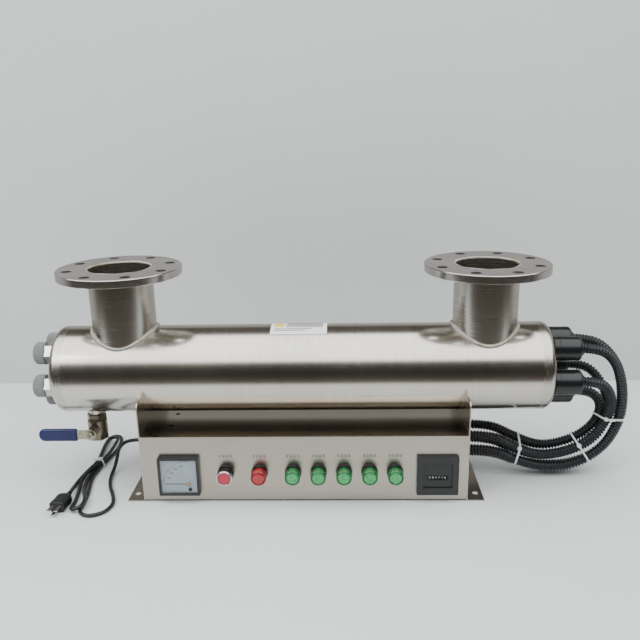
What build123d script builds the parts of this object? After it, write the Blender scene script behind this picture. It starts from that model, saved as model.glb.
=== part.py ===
from build123d import *
import math
import os

# Five-lamp UV clarifier: a stainless chamber with two flanged necks on top,
# cradled by a control box on feet. X runs along the chamber, -Y is the front, Z is up.
# The origin is on the floor, at the middle of the four foot holes. Millimetres.

# ---- chamber -------------------------------------------------------------
chamber_od = 159.0
chamber_wall = 3.0
chamber_length = 889.0
chamber_mid_x = -4.5
chamber_axis_z = 220.0
end_depth = 24.0
end_corner = 12.0

# ---- necks and flanges (DN100) -------------------------------------------
neck_od = 114.0
neck_wall = 3.0
neck_spacing = 652.0
flange_od = 220.0
flange_thickness = 14.0
flange_top_z = 411.0
flange_bolt_circle = 180.0
flange_bolt_hole = 18.0
flange_bolt_count = 8
slip_clearance = 0.25
weld_leg = 5.0
face_weld_depth = 3.0

# ---- lamps ---------------------------------------------------------------
lamp_count = 5
lamp_circle_r = 50.0
lamp_first_angle = 54.0
sleeve_od = 22.0
sleeve_wall = 1.5
sleeve_overhang = 22.0
port_wall = 2.0
port_clearance = 0.5
port_length = 6.0
oring_thickness = 3.0
nut_wall = 3.0
nut_length = 13.0
nut_lip = 2.0
boss_wall = 1.5
boss_length = 8.0
left_cap_wall = 5.3
left_cap_length = 20.0
cap_over_nut = 5.75
right_cap_wall = 2.5
right_cap_length = 49.0
cap_gap = 0.2
lamp_od = 15.5
lamp_base_length = 20.0
socket_length = 16.0

# ---- conduits ------------------------------------------------------------
conduit_od = 18.5
drawn_cap_x = 489.5
drawn_box_x = 306.0
conduit_slack_x = 380.0
connector_od = 23.0
connector_length = 16.0
tie_width = 5.0
tie_thickness = 1.6

# ---- drain valve ---------------------------------------------------------
valve_x = -397.0
valve_z = 105.0
nipple_od = 25.0
nipple_bore = 19.0
valve_wall = 2.4
valve_cavity_gap = 0.6
valve_hex = 32.0
valve_end_depth = 10.0
ball_r = 15.0
ball_bore = 19.0
ball_gap = 0.3
stem_d = 8.0
stem_fit = 0.08
bonnet_od = 18.0
bonnet_front_y = -30.0
packing_nut_flats = 17.0
packing_nut_length = 6.0
lever_back_y = -41.0
lever_thickness = 3.0
lever_width = 17.0
lever_length = 96.0
grip_length = 72.0
grip_height = 24.0
grip_thickness = 9.0
lever_nut_flats = 13.0
lever_nut_length = 5.0
outlet_thread_bore = 24.1
outlet_thread_depth = 9.0

# ---- stand and box -------------------------------------------------------
stand_width = 580.0
stand_depth = 200.0
sheet = 2.0
box_top_z = 126.0
box_bottom_z = 4.0
horn_top_z = 188.0
foot_width = 30.0
foot_hole_d = 11.0
foot_hole_inset = 12.0
foot_hole_setback = 25.0
wire_hole_d = 8.0
wire_hole_setback = 48.0
wire_holes_y = (2.0, -50.0)
vent_count = 6
vent_length = 80.0
vent_height = 4.0
vent_pitch = 9.0
vent_group_x = 160.0
screw_head_d = 7.0
screw_head_h = 2.2
screw_shank_d = 3.5

# ---- panel instruments ---------------------------------------------------
meter_size = 73.0
meter_from_side = 68.0
meter_z = 53.5
meter_bezel_depth = 10.0
meter_body_d = 62.0
meter_body_depth = 42.0
meter_border = 4.5
dial_recess = 7.0
dial_thickness = 1.0
pivot_offset = 15.5
pointer_length = 41.0
pointer_width = 1.4
pointer_thickness = 0.6
pointer_gap = 0.8
spindle_d = 2.0
spindle_length = 8.0
glass_thickness = 1.5
counter_from_side = 54.5
counter_z = 52.5
counter_bezel_depth = 8.0
counter_body = 60.0
counter_body_depth = 40.0
counter_recess_w = 51.0
counter_recess_h = 46.0
counter_recess_depth = 3.0
counter_slot_w = 34.0
counter_slot_h = 6.0
drum_r = 6.0
drum_width = 5.0
drum_gap = 0.4
drum_count = 6
drum_axle_d = 2.0
drum_fit = 0.1
counter_row_drop = 4.5
lamp_row_z = 58.0
collar_wall = 3.0
head_base_lip = 1.0
head_base_length = 8.0
head_length = 26.0
barrel_d = 22.0
barrel_length = 38.0
panel_fit = 0.3
switch_place = -138.5
red_place = -78.5
green_first_place = -19.0
green_pitch = 45.0
green_count = 5
button_d = 21.0
button_gap = 0.3
button_proud = 7.0
button_travel = 3.5
button_stem_d = 8.0
contact_size = (28.0, 30.0, 24.0)

# ---- inside the box ------------------------------------------------------
ballast_size = (76.0, 60.0, 32.0)
ballast_pitch = 88.0
ballast_first_place = -110.0
ballast_y = 40.0
terminal_size = (76.0, 24.0, 22.0)
terminal_place = -225.0

# ---- mains cord ----------------------------------------------------------
cord_od = 7.0
gland_length = 32.0
gland_y = 8.0
gland_z = 70.0
gland_thread_d = 12.0
gland_od = 20.0
hank_height = 14.0
hank_low_height = 7.6
hank_tie_band = 1.1
plug_length = 38.0
plug_width = 28.0
plug_height = 20.0
plug_tail = 14.0
plug_pin_w = 6.3
plug_pin_t = 1.5
plug_pin_length = 18.0
plug_pin_spread = 7.0

# ---- worked out from the above -------------------------------------------
chamber_r = chamber_od / 2
half_length = chamber_length / 2
neck_r = neck_od / 2
neck_bore_r = neck_r - neck_wall
neck_xs = (-neck_spacing / 2, neck_spacing / 2)
flange_bottom_z = flange_top_z - flange_thickness
flange_bore_r = neck_r + slip_clearance
bolt_start = 180 / flange_bolt_count
lamp_angles = [lamp_first_angle - 360 / lamp_count * i for i in range(lamp_count)]
lamp_spots = [
    (-lamp_circle_r * math.cos(math.radians(a)),
     chamber_axis_z + lamp_circle_r * math.sin(math.radians(a)))
    for a in lamp_angles
]
port_bore_r = sleeve_od / 2 + port_clearance
port_od = 2 * (port_bore_r + port_wall)
nut_flats = port_od + 2 * nut_wall
boss_od = port_od + 2 * boss_wall
left_cap_od = boss_od + 2 * (cap_gap + left_cap_wall)
right_cap_od = nut_flats + 2 * cap_over_nut
valve_body_od = 2 * (ball_r + valve_cavity_gap + valve_wall)
valve_half_height = ball_r + valve_end_depth
head_od = button_d + 2 * collar_wall
head_base_od = head_od + 2 * head_base_lip
stand_x = stand_width / 2
panel_spread = stand_width / 580
meter_x = meter_from_side - stand_x
counter_x = stand_x - counter_from_side
front_y = -stand_depth / 2
panel_back_y = front_y + sheet
plate_inner_x = stand_x - sheet
foot_outer_x = stand_x + foot_width
foot_hole_x = foot_outer_x - foot_hole_inset
foot_hole_y = stand_depth / 2 - foot_hole_setback
conduit_cap_x = chamber_mid_x + half_length + 0.5 + right_cap_length


def across_x(x, y=0.0, z=0.0):
    """Plane whose normal is +X, with its sketch x along +Y."""
    return Plane(origin=(x, y, z), x_dir=(0, 1, 0), z_dir=(1, 0, 0))


def facing_front(y, x=0.0, z=0.0):
    """Plane whose normal is -Y, with its sketch x along +X."""
    return Plane(origin=(x, y, z), x_dir=(1, 0, 0), z_dir=(0, -1, 0))


def save(piece, name):
    piece.label = name
    export_step(piece, f"parts/{name}.step")


os.makedirs("parts", exist_ok=True)


# ---- chamber shell, end plates -------------------------------------------
shell_half = half_length - end_depth
with BuildPart() as chamber_shell:
    with BuildSketch(across_x(chamber_mid_x - shell_half, 0, chamber_axis_z)):
        Circle(chamber_r)
        Circle(chamber_r - chamber_wall, mode=Mode.SUBTRACT)
    extrude(amount=2 * shell_half)
    for neck_x in neck_xs:
        with BuildSketch(Plane.XY.offset(chamber_axis_z)):
            with Locations((neck_x, 0)):
                Circle(neck_bore_r)
        extrude(amount=chamber_r + 1, mode=Mode.SUBTRACT)
    with BuildSketch(Plane.XY.offset(chamber_axis_z)):
        with Locations((valve_x, 0)):
            Circle(nipple_bore / 2)
    extrude(amount=-chamber_r - 1, mode=Mode.SUBTRACT)
save(chamber_shell.part, "chamber_shell")


def make_round_cornered_disc(side, radius, depth, corner):
    with BuildPart() as disc:
        with BuildSketch(across_x(chamber_mid_x + side * shell_half, 0, chamber_axis_z)):
            Circle(radius)
        extrude(amount=side * depth)
        fillet(disc.edges().filter_by(GeomType.CIRCLE).sort_by(Axis.X)[-1 if side > 0 else 0], corner)
    return disc.part


def make_end_plate(side):
    hollow = make_round_cornered_disc(side, chamber_r - chamber_wall, end_depth - chamber_wall,
                                      end_corner - chamber_wall)
    with BuildPart() as plate:
        add(make_round_cornered_disc(side, chamber_r, end_depth, end_corner))
        add(hollow, mode=Mode.SUBTRACT)
        with BuildSketch(across_x(chamber_mid_x + side * shell_half)):
            with Locations(*lamp_spots):
                Circle(port_bore_r)
        extrude(amount=side * (end_depth + 1), mode=Mode.SUBTRACT)
    return plate.part


save(make_end_plate(-1), "end_plate_left")
save(make_end_plate(1), "end_plate_right")

# ---- necks and flanges ---------------------------------------------------
chamber_solid = Pos(chamber_mid_x, 0, chamber_axis_z) * Rot(0, 90, 0) * Cylinder(chamber_r, chamber_length)
bead_solid = Pos(chamber_mid_x, 0, chamber_axis_z) * Rot(0, 90, 0) * Cylinder(chamber_r + weld_leg, chamber_length)


def make_neck(neck_x):
    with BuildPart() as neck:
        with BuildSketch(Plane.XY.offset(chamber_axis_z)):
            with Locations((neck_x, 0)):
                Circle(neck_r)
                Circle(neck_bore_r, mode=Mode.SUBTRACT)
        extrude(amount=flange_top_z - face_weld_depth - chamber_axis_z)
        add(chamber_solid, mode=Mode.SUBTRACT)
    return neck.part


def make_flange(neck_x):
    with BuildPart() as flange:
        with BuildSketch(Plane.XY.offset(flange_bottom_z)):
            with Locations((neck_x, 0)):
                Circle(flange_od / 2)
                Circle(flange_bore_r, mode=Mode.SUBTRACT)
        extrude(amount=flange_thickness)
        rim = flange.edges().filter_by(GeomType.CIRCLE).filter_by(lambda e: abs(e.radius - flange_od / 2) < 0.01)
        chamfer(rim, 1.0)
        with BuildSketch(Plane.XY.offset(flange_bottom_z)):
            with Locations((neck_x, 0)):
                with PolarLocations(flange_bolt_circle / 2, flange_bolt_count, start_angle=bolt_start):
                    Circle(flange_bolt_hole / 2)
        extrude(amount=flange_thickness, mode=Mode.SUBTRACT)
    return flange.part


save(make_neck(neck_xs[0]), "inlet_neck")
save(make_neck(neck_xs[1]), "outlet_neck")
save(make_flange(neck_xs[0]), "inlet_flange")
save(make_flange(neck_xs[1]), "outlet_flange")


# ---- welds: a saddle bead round each neck, a fillet below and a seal above each flange
def make_saddle_bead(neck_x):
    with BuildPart() as bead:
        with BuildSketch(Plane.XY.offset(chamber_axis_z)):
            with Locations((neck_x, 0)):
                Circle(neck_r + weld_leg)
                Circle(neck_r, mode=Mode.SUBTRACT)
        extrude(amount=chamber_r + weld_leg)
        add(bead_solid, mode=Mode.INTERSECT)
        add(chamber_solid, mode=Mode.SUBTRACT)
    return bead.part


def make_flange_fillet(neck_x):
    with BuildPart() as ring:
        with BuildSketch(Plane.XZ):
            with BuildLine():
                Polyline((neck_r, flange_bottom_z), (neck_r + weld_leg, flange_bottom_z),
                         (neck_r, flange_bottom_z - weld_leg), close=True)
            make_face()
        revolve(axis=Axis.Z)
    return Pos(neck_x, 0, 0) * ring.part


def make_face_seal(neck_x):
    with BuildPart() as seal:
        with BuildSketch(Plane.XY.offset(flange_top_z - face_weld_depth)):
            with Locations((neck_x, 0)):
                Circle(flange_bore_r)
                Circle(neck_bore_r, mode=Mode.SUBTRACT)
        extrude(amount=face_weld_depth)
    return seal.part


welds = [make(x) for x in neck_xs for make in (make_saddle_bead, make_flange_fillet, make_face_seal)]
save(Compound(children=welds), "weld_beads")


# ---- lamp ports, sleeves, seals, nuts ------------------------------------
def at_each_lamp(make, sides=(-1, 1)):
    """One copy of a piece at every lamp, drawn for the +X end and turned for the -X end."""
    copies = []
    for side in sides:
        for y, z in lamp_spots:
            turn = 0 if side > 0 else 180
            copies.append(Pos(chamber_mid_x + side * half_length, y, z) * Rot(0, 0, turn) * make)
    return copies


with BuildPart() as port:
    with BuildSketch(across_x(0)):
        Circle(port_od / 2)
        Circle(port_bore_r, mode=Mode.SUBTRACT)
    extrude(amount=port_length)
save(Compound(children=at_each_lamp(port.part)), "sleeve_ports")

with BuildPart() as oring:
    with BuildSketch(across_x(port_length)):
        Circle(port_od / 2)
        Circle(sleeve_od / 2, mode=Mode.SUBTRACT)
    extrude(amount=oring_thickness)
save(Compound(children=at_each_lamp(oring.part)), "sleeve_orings")

nut_start = 1.0
lip_x = port_length + oring_thickness
nut_end = nut_start + nut_length
with BuildPart() as gland_nut:
    with BuildSketch(across_x(nut_start)):
        RegularPolygon(nut_flats / 2, 6, major_radius=False)
    extrude(amount=nut_length)
    with BuildSketch(across_x(nut_end)):
        Circle(boss_od / 2)
    extrude(amount=boss_length)
    with BuildSketch(across_x(nut_start)):
        Circle(port_od / 2)
    extrude(amount=lip_x - nut_start, mode=Mode.SUBTRACT)
    with BuildSketch(across_x(lip_x)):
        Circle(port_bore_r)
    extrude(amount=nut_end + boss_length - lip_x, mode=Mode.SUBTRACT)
save(Compound(children=at_each_lamp(gland_nut.part)), "gland_nuts")

# The closed end of each sleeve is on the left, the open end with the lamp pins on the right.
sleeve_half = half_length + sleeve_overhang
sleeve_bore_r = sleeve_od / 2 - sleeve_wall
with BuildPart() as sleeve:
    with BuildSketch(across_x(-sleeve_half)):
        Circle(sleeve_od / 2)
    extrude(amount=2 * sleeve_half)
    fillet(sleeve.edges().filter_by(GeomType.CIRCLE).sort_by(Axis.X)[0], sleeve_od / 2 - 1)
    with BuildSketch(across_x(-sleeve_half + sleeve_od / 2)):
        Circle(sleeve_bore_r)
    extrude(amount=2 * sleeve_half, mode=Mode.SUBTRACT)
save(Compound(children=[Pos(chamber_mid_x, y, z) * sleeve.part for y, z in lamp_spots]), "quartz_sleeves")

lamp_right = sleeve_half
lamp_left = -sleeve_half + sleeve_od
with BuildPart() as lamp_tube:
    with BuildSketch(across_x(lamp_left + lamp_base_length)):
        Circle(lamp_od / 2)
    extrude(amount=lamp_right - lamp_left - 2 * lamp_base_length)
save(Compound(children=[Pos(chamber_mid_x, y, z) * lamp_tube.part for y, z in lamp_spots]), "lamp_tubes")

bases = []
for base_x in (lamp_left, lamp_right - lamp_base_length):
    for y, z in lamp_spots:
        with BuildPart() as lamp_base:
            with BuildSketch(across_x(chamber_mid_x + base_x, y, z)):
                Circle(sleeve_bore_r - 0.5)
            extrude(amount=lamp_base_length)
        bases.append(lamp_base.part)
save(Compound(children=bases), "lamp_bases")

with BuildPart() as lamp_socket:
    with BuildSketch(across_x(lamp_right)):
        Circle(sleeve_od / 2 - 0.5)
    extrude(amount=socket_length)
save(Compound(children=[Pos(chamber_mid_x, y, z) * lamp_socket.part for y, z in lamp_spots]), "lamp_sockets")

# ---- end caps ------------------------------------------------------------
left_cap_start = nut_end + cap_gap
left_bore_r = boss_od / 2 + cap_gap
with BuildPart() as sleeve_cap:
    with BuildSketch(across_x(left_cap_start)):
        Circle(left_cap_od / 2)
    extrude(amount=left_cap_length)
    fillet(sleeve_cap.edges().filter_by(GeomType.CIRCLE).sort_by(Axis.X)[-1], 4)
    with BuildSketch(across_x(left_cap_start)):
        Circle(left_bore_r)
    extrude(amount=left_cap_length - 3, mode=Mode.SUBTRACT)
save(Compound(children=at_each_lamp(sleeve_cap.part, sides=(-1,))), "sleeve_caps")

with BuildPart() as conduit_cap:
    with BuildSketch(across_x(0.5)):
        Circle(right_cap_od / 2)
    extrude(amount=right_cap_length)
    fillet(conduit_cap.edges().filter_by(GeomType.CIRCLE).sort_by(Axis.X)[-1], 6)
    with BuildSketch(across_x(0.5)):
        Circle(right_cap_od / 2 - right_cap_wall)
    extrude(amount=right_cap_length - right_cap_wall * 2, mode=Mode.SUBTRACT)
    with BuildSketch(across_x(0.5)):
        Circle(conduit_od / 2 - 2)
    extrude(amount=right_cap_length + 1, mode=Mode.SUBTRACT)
save(Compound(children=at_each_lamp(conduit_cap.part, sides=(1,))), "conduit_caps")


# ---- conduits ------------------------------------------------------------
def rounded_route(name, points, diameter):
    """Path of straight runs and tangent arcs; each arc is as large as its two runs allow."""
    corners = [Vector(*p) for p in points]
    radii = []
    for before, here, after in zip(corners, corners[1:], corners[2:]):
        turn = math.radians((here - before).get_angle(after - here))
        shorter = min((here - before).length, (after - here).length)
        radii.append(0.45 * shorter / math.tan(turn / 2))
    print(name, "bend radii", [round(r, 1) for r in radii], "diameter", diameter)
    with BuildLine() as path:
        FilletPolyline(*points, radius=radii)
    return path.wires()[0]


def carried(points, start, end, slack_x):
    """Route moved with the piece at its start; its run from slack_x to its end takes up the difference."""
    start_shift = Vector(*start) - Vector(*points[0])
    end_shift = Vector(*end) - Vector(*points[-1])
    slack = slack_x - points[-1][0]
    moved = []
    for point in points:
        share = min(max((point[0] - points[-1][0]) / slack, 0), 1)
        moved.append(Vector(*point) + start_shift * share + end_shift * (1 - share))
    return [tuple(p) for p in moved]


def make_tube(name, points, diameter):
    path = rounded_route(name, points, diameter)
    start = Plane(origin=path @ 0, z_dir=path % 0)
    with BuildPart() as tube:
        with BuildSketch(start):
            Circle(diameter / 2)
        sweep(path=path)
    straight = math.pi * diameter ** 2 / 4 * path.length
    print(name, "length", round(path.length, 1), "volume / (section x length)",
          round(tube.part.volume / straight, 4))
    return tube.part


connector_end_x = stand_x + connector_length
conduit_routes = {
    "conduit_1": [(drawn_cap_x, 29.4, 260.5), (530, 29.4, 260.5), (565, 24, 234), (585, 17, 193),
                  (592, 12, 146), (587, 11, 96), (561, 11, 47), (512, 11, 18), (457, 12, 11.5),
                  (402, 14, 20), (352, 16, 40), (drawn_box_x, 16, 40)],
    "conduit_2": [(drawn_cap_x, -29.4, 260.5), (527, -29.4, 260.5), (558, -22, 233), (574, -15, 192),
                  (580, -12, 144), (573, -11, 97), (548, -11, 54), (505, -11, 26), (455, -12, 19.5),
                  (399, -14, 33), (349, -16, 60), (drawn_box_x, -16, 60)],
    "conduit_3": [(drawn_cap_x, 47.6, 204.5), (522, 47.6, 204.5), (548, 38, 186), (563, 25, 154),
                  (566, 14, 117), (553, 11, 80), (525, 11, 53), (485, 11, 38), (440, 12, 32),
                  (391, 14, 47), (348, 16, 68), (drawn_box_x, 16, 68)],
    "conduit_4": [(drawn_cap_x, -47.6, 204.5), (521, -47.6, 204.5), (545, -37, 184), (557, -24, 152),
                  (554, -14, 118), (537, -11, 86), (507, -11, 62), (468, -11, 47), (426, -12, 46),
                  (384, -14, 66), (345, -16, 88), (drawn_box_x, -16, 88)],
    "conduit_5": [(drawn_cap_x, 0, 170), (519, 0, 170), (541, 0.5, 155), (548, 2, 130),
                  (539, 7, 100), (512, 11, 73), (473, 11, 58), (436, 12, 54), (389, 13, 74),
                  (348, 16, 96), (drawn_box_x, 16, 96)],
}
conduit_holes = [points[-1][1:] for points in conduit_routes.values()]
conduit_spots = [lamp_spots[4], lamp_spots[0], lamp_spots[3], lamp_spots[1], lamp_spots[2]]
for (conduit_name, course), spot, hole in zip(conduit_routes.items(), conduit_spots, conduit_holes):
    course = carried(course, (conduit_cap_x, *spot), (connector_end_x, *hole), conduit_slack_x)
    save(make_tube(conduit_name, course, conduit_od), conduit_name)

connectors = []
for y, z in conduit_holes:
    with BuildPart() as connector:
        with BuildSketch(across_x(stand_x, y, z)):
            Circle(connector_od / 2)
            Circle(conduit_od / 2 - 2, mode=Mode.SUBTRACT)
        extrude(amount=connector_length)
        with BuildSketch(across_x(plate_inner_x - 6, y, z)):
            Circle(conduit_od / 2 - 0.5)
            Circle(conduit_od / 2 - 2, mode=Mode.SUBTRACT)
        extrude(amount=sheet + 6)
    connectors.append(connector.part)
save(Compound(children=connectors), "conduit_connectors")


# ---- conduit ties: a flat band round the bundle at three places ----------
def make_tie(origin, along, width_y, height):
    tie_plane = Plane(origin=origin, x_dir=(0, 1, 0), z_dir=along)
    with BuildPart() as tie:
        with BuildSketch(tie_plane):
            RectangleRounded(width_y + 2 * tie_thickness, height + 2 * tie_thickness, 11 + tie_thickness)
            RectangleRounded(width_y, height, 11, mode=Mode.SUBTRACT)
        extrude(amount=tie_width / 2, both=True)
    return tie.part


cap_shift = conduit_cap_x - drawn_cap_x
ties = [
    make_tie((566 + cap_shift, 0, 120.2), (-0.12, 0, -0.99), 53, 70),
    make_tie((517.5 + cap_shift, 0, 50), (-0.84, 0, -0.54), 42.5, 70.5),
    make_tie((393.6 + cap_shift, 0, 48), (-0.97, 0, 0.22), 49.5, 71),
]
save(Compound(children=ties), "conduit_ties")

# ---- drain nipple and ball valve -----------------------------------------
valve_top_z = valve_z + valve_half_height
valve_bottom_z = valve_z - valve_half_height
nipple_depth = 8.0
with BuildPart() as drain_nipple:
    with BuildSketch(Plane.XY.offset(valve_top_z - nipple_depth)):
        with Locations((valve_x, 0)):
            Circle(nipple_od / 2)
            Circle(nipple_bore / 2, mode=Mode.SUBTRACT)
    extrude(amount=chamber_axis_z - valve_top_z + nipple_depth)
    add(chamber_solid, mode=Mode.SUBTRACT)
save(drain_nipple.part, "drain_nipple")

end_joint_z = valve_bottom_z + valve_end_depth
cavity_r = ball_r + valve_cavity_gap
seat_outer = ball_r + 1.0
with BuildPart() as valve_body:
    with BuildSketch(Plane.XY.offset(end_joint_z)):
        with Locations((valve_x, 0)):
            Circle(valve_body_od / 2)
    extrude(amount=valve_top_z - 12 - end_joint_z)
    with BuildSketch(Plane.XY.offset(valve_top_z - 12)):
        with Locations((valve_x, 0)):
            RegularPolygon(valve_hex / 2, 6, major_radius=False)
    extrude(amount=12)
    with BuildSketch(facing_front(0, valve_x, valve_z)):
        Circle(bonnet_od / 2)
    extrude(amount=-bonnet_front_y)
    with BuildSketch(Plane.XY.offset(end_joint_z)):
        with Locations((valve_x, 0)):
            Circle(cavity_r)
    extrude(amount=valve_z + seat_outer - end_joint_z, mode=Mode.SUBTRACT)
    with BuildSketch(Plane.XY.offset(valve_z)):
        with Locations((valve_x, 0)):
            Circle(nipple_bore / 2)
    extrude(amount=valve_half_height, mode=Mode.SUBTRACT)
    with BuildSketch(Plane.XY.offset(valve_top_z - nipple_depth)):
        with Locations((valve_x, 0)):
            Circle(nipple_od / 2)
    extrude(amount=nipple_depth, mode=Mode.SUBTRACT)
    with BuildSketch(facing_front(0, valve_x, valve_z)):
        Circle(stem_d / 2 + stem_fit)
    extrude(amount=-bonnet_front_y, mode=Mode.SUBTRACT)
save(valve_body.part, "valve_body")

with BuildPart() as valve_end:
    with BuildSketch(Plane.XY.offset(valve_bottom_z)):
        with Locations((valve_x, 0)):
            RegularPolygon(valve_hex / 2, 6, major_radius=False)
    extrude(amount=end_joint_z - valve_bottom_z)
    with BuildSketch(Plane.XY.offset(valve_bottom_z)):
        with Locations((valve_x, 0)):
            Circle(nipple_bore / 2)
    extrude(amount=end_joint_z - valve_bottom_z, mode=Mode.SUBTRACT)
    with BuildSketch(Plane.XY.offset(valve_bottom_z)):
        with Locations((valve_x, 0)):
            Circle(outlet_thread_bore / 2)
    extrude(amount=outlet_thread_depth, mode=Mode.SUBTRACT)
save(valve_end.part, "valve_end")

ball_room = Pos(valve_x, 0, valve_z) * Sphere(ball_r + ball_gap)
seats = []
seat_spans = ((valve_z + 9, valve_z + seat_outer), (end_joint_z, valve_z - 9))
for seat_low, seat_high in seat_spans:
    with BuildPart() as seat:
        with BuildSketch(Plane.XY.offset(seat_low)):
            with Locations((valve_x, 0)):
                Circle(cavity_r - 0.1)
                Circle(nipple_bore / 2, mode=Mode.SUBTRACT)
        extrude(amount=seat_high - seat_low)
        add(ball_room, mode=Mode.SUBTRACT)
    seats.append(seat.part)
save(Compound(children=seats), "valve_seats")

tang_half = 2.0
tang_depth = 4.0
with BuildPart() as valve_ball:
    with Locations((valve_x, 0, valve_z)):
        Sphere(ball_r)
    with BuildSketch(across_x(valve_x - ball_r - 1, 0, valve_z)):
        Circle(ball_bore / 2)
    extrude(amount=2 * ball_r + 2, mode=Mode.SUBTRACT)
    with BuildSketch(facing_front(-ball_r + tang_depth, valve_x, valve_z)):
        Rectangle(stem_d * 2, tang_half * 2)
    extrude(amount=tang_depth + 1, mode=Mode.SUBTRACT)
save(valve_ball.part, "valve_ball")

lever_front_y = lever_back_y - lever_thickness
stem_end_y = lever_front_y - lever_nut_length
with BuildPart() as valve_stem:
    with BuildSketch(facing_front(-ball_r - 0.5, valve_x, valve_z)):
        Circle(stem_d / 2)
    extrude(amount=-stem_end_y - ball_r - 0.5)
    with BuildSketch(facing_front(-ball_r + tang_depth, valve_x, valve_z)):
        Rectangle(stem_d * 0.8, tang_half * 2)
    extrude(amount=tang_depth + 0.5)
save(valve_stem.part, "valve_stem")


def make_hex_nut(start_y, length, flats, bore):
    with BuildPart() as nut:
        with BuildSketch(facing_front(start_y, valve_x, valve_z)):
            RegularPolygon(flats / 2, 6, major_radius=False)
            Circle(bore / 2, mode=Mode.SUBTRACT)
        extrude(amount=length)
    return nut.part


save(make_hex_nut(bonnet_front_y, packing_nut_length, packing_nut_flats, stem_d + 2 * stem_fit), "packing_nut")
save(make_hex_nut(lever_front_y, lever_nut_length, lever_nut_flats, stem_d), "lever_nut")

lever_end_x = valve_x - lever_length
blade_end_x = lever_end_x + grip_thickness
with BuildPart() as valve_lever:
    with BuildSketch(facing_front(lever_back_y, 0, valve_z)):
        with Locations(((valve_x + blade_end_x) / 2, 0)):
            Rectangle(valve_x - blade_end_x, lever_width)
        with Locations((valve_x, 0)):
            Circle(lever_width * 0.62)
            Circle(stem_d / 2, mode=Mode.SUBTRACT)
    extrude(amount=lever_thickness)
save(valve_lever.part, "valve_lever")

grip_mid_y = lever_back_y - lever_thickness / 2
grip_corner = grip_thickness / 2 - 0.5
blade_solid = Pos((valve_x + blade_end_x) / 2, grip_mid_y, valve_z) * Box(
    valve_x - blade_end_x, lever_thickness, lever_width)
with BuildPart() as lever_grip:
    with BuildSketch(facing_front(grip_mid_y + grip_thickness / 2, lever_end_x + grip_length / 2, valve_z)):
        RectangleRounded(grip_length, grip_height, grip_height / 2 - 1)
        with Locations((grip_length / 4, 0)):
            RectangleRounded(grip_length / 2, grip_height, 3)
    extrude(amount=grip_thickness)
    fillet(lever_grip.faces().filter_by(Axis.Y).edges(), grip_corner)
    add(blade_solid, mode=Mode.SUBTRACT)
save(lever_grip.part, "lever_grip")


# ---- stand: side plates with saddle and foot -----------------------------
def make_side_plate(side):
    plate_x = side * stand_x if side < 0 else plate_inner_x
    with BuildPart() as side_plate:
        with BuildSketch(across_x(plate_x)):
            with BuildLine():
                half = stand_depth / 2
                Polyline((-half, 0), (half, 0), (half, horn_top_z - 6), (half - 6, horn_top_z),
                         (6 - half, horn_top_z), (-half, horn_top_z - 6), close=True)
            make_face()
            with Locations((0, chamber_axis_z)):
                Circle(chamber_r, mode=Mode.SUBTRACT)
        extrude(amount=sheet)
        with BuildSketch(Plane.XY):
            with Locations((side * (stand_x + foot_width / 2), 0)):
                Rectangle(foot_width, stand_depth)
            with Locations((side * foot_hole_x, -foot_hole_y), (side * foot_hole_x, foot_hole_y)):
                Circle(foot_hole_d / 2, mode=Mode.SUBTRACT)
        extrude(amount=sheet)
        if side > 0:
            with BuildSketch(across_x(plate_x)):
                with Locations(*conduit_holes):
                    Circle(conduit_od / 2 - 0.5)
            extrude(amount=sheet, mode=Mode.SUBTRACT)
        else:
            with BuildSketch(across_x(plate_x)):
                with Locations((gland_y, gland_z)):
                    Circle(gland_thread_d / 2)
            extrude(amount=sheet, mode=Mode.SUBTRACT)
    return side_plate.part


save(make_side_plate(-1), "side_plate_left")
save(make_side_plate(1), "side_plate_right")

# ---- box: front panel, top, rear panel, base -----------------------------
box_width = 2 * plate_inner_x
box_height = box_top_z - box_bottom_z
switch_x = switch_place * panel_spread
red_x = red_place * panel_spread
green_xs = [(green_first_place + green_pitch * i) * panel_spread for i in range(green_count)]
head_xs = [switch_x, red_x] + green_xs
with BuildPart() as front_panel:
    with BuildSketch(facing_front(panel_back_y, 0, (box_top_z + box_bottom_z) / 2)):
        Rectangle(box_width, box_height)
    extrude(amount=sheet)
    with BuildSketch(facing_front(panel_back_y)):
        with Locations(*[(x, lamp_row_z) for x in head_xs]):
            Circle(barrel_d / 2 + panel_fit)
        with Locations((meter_x, meter_z)):
            Circle(meter_body_d / 2 + panel_fit)
        with Locations((counter_x, counter_z)):
            Rectangle(counter_body + 2 * panel_fit, counter_body + 2 * panel_fit)
    extrude(amount=sheet, mode=Mode.SUBTRACT)
save(front_panel.part, "front_panel")

rear_y = stand_depth / 2
inner_depth = rear_y - sheet - panel_back_y
wire_holes = [(-stand_x + wire_hole_setback, y) for y in wire_holes_y]
with BuildPart() as box_top:
    with BuildSketch(Plane.XY.offset(box_top_z - sheet)):
        with Locations((0, (panel_back_y + rear_y - sheet) / 2)):
            Rectangle(box_width, inner_depth)
        with Locations(*wire_holes):
            Circle(wire_hole_d / 2, mode=Mode.SUBTRACT)
    extrude(amount=sheet)
save(box_top.part, "box_top")

with BuildPart() as base_plate:
    with BuildSketch(Plane.XY.offset(box_bottom_z)):
        with Locations((0, (panel_back_y + rear_y - sheet) / 2)):
            Rectangle(box_width, inner_depth)
    extrude(amount=sheet)
save(base_plate.part, "base_plate")

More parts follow.
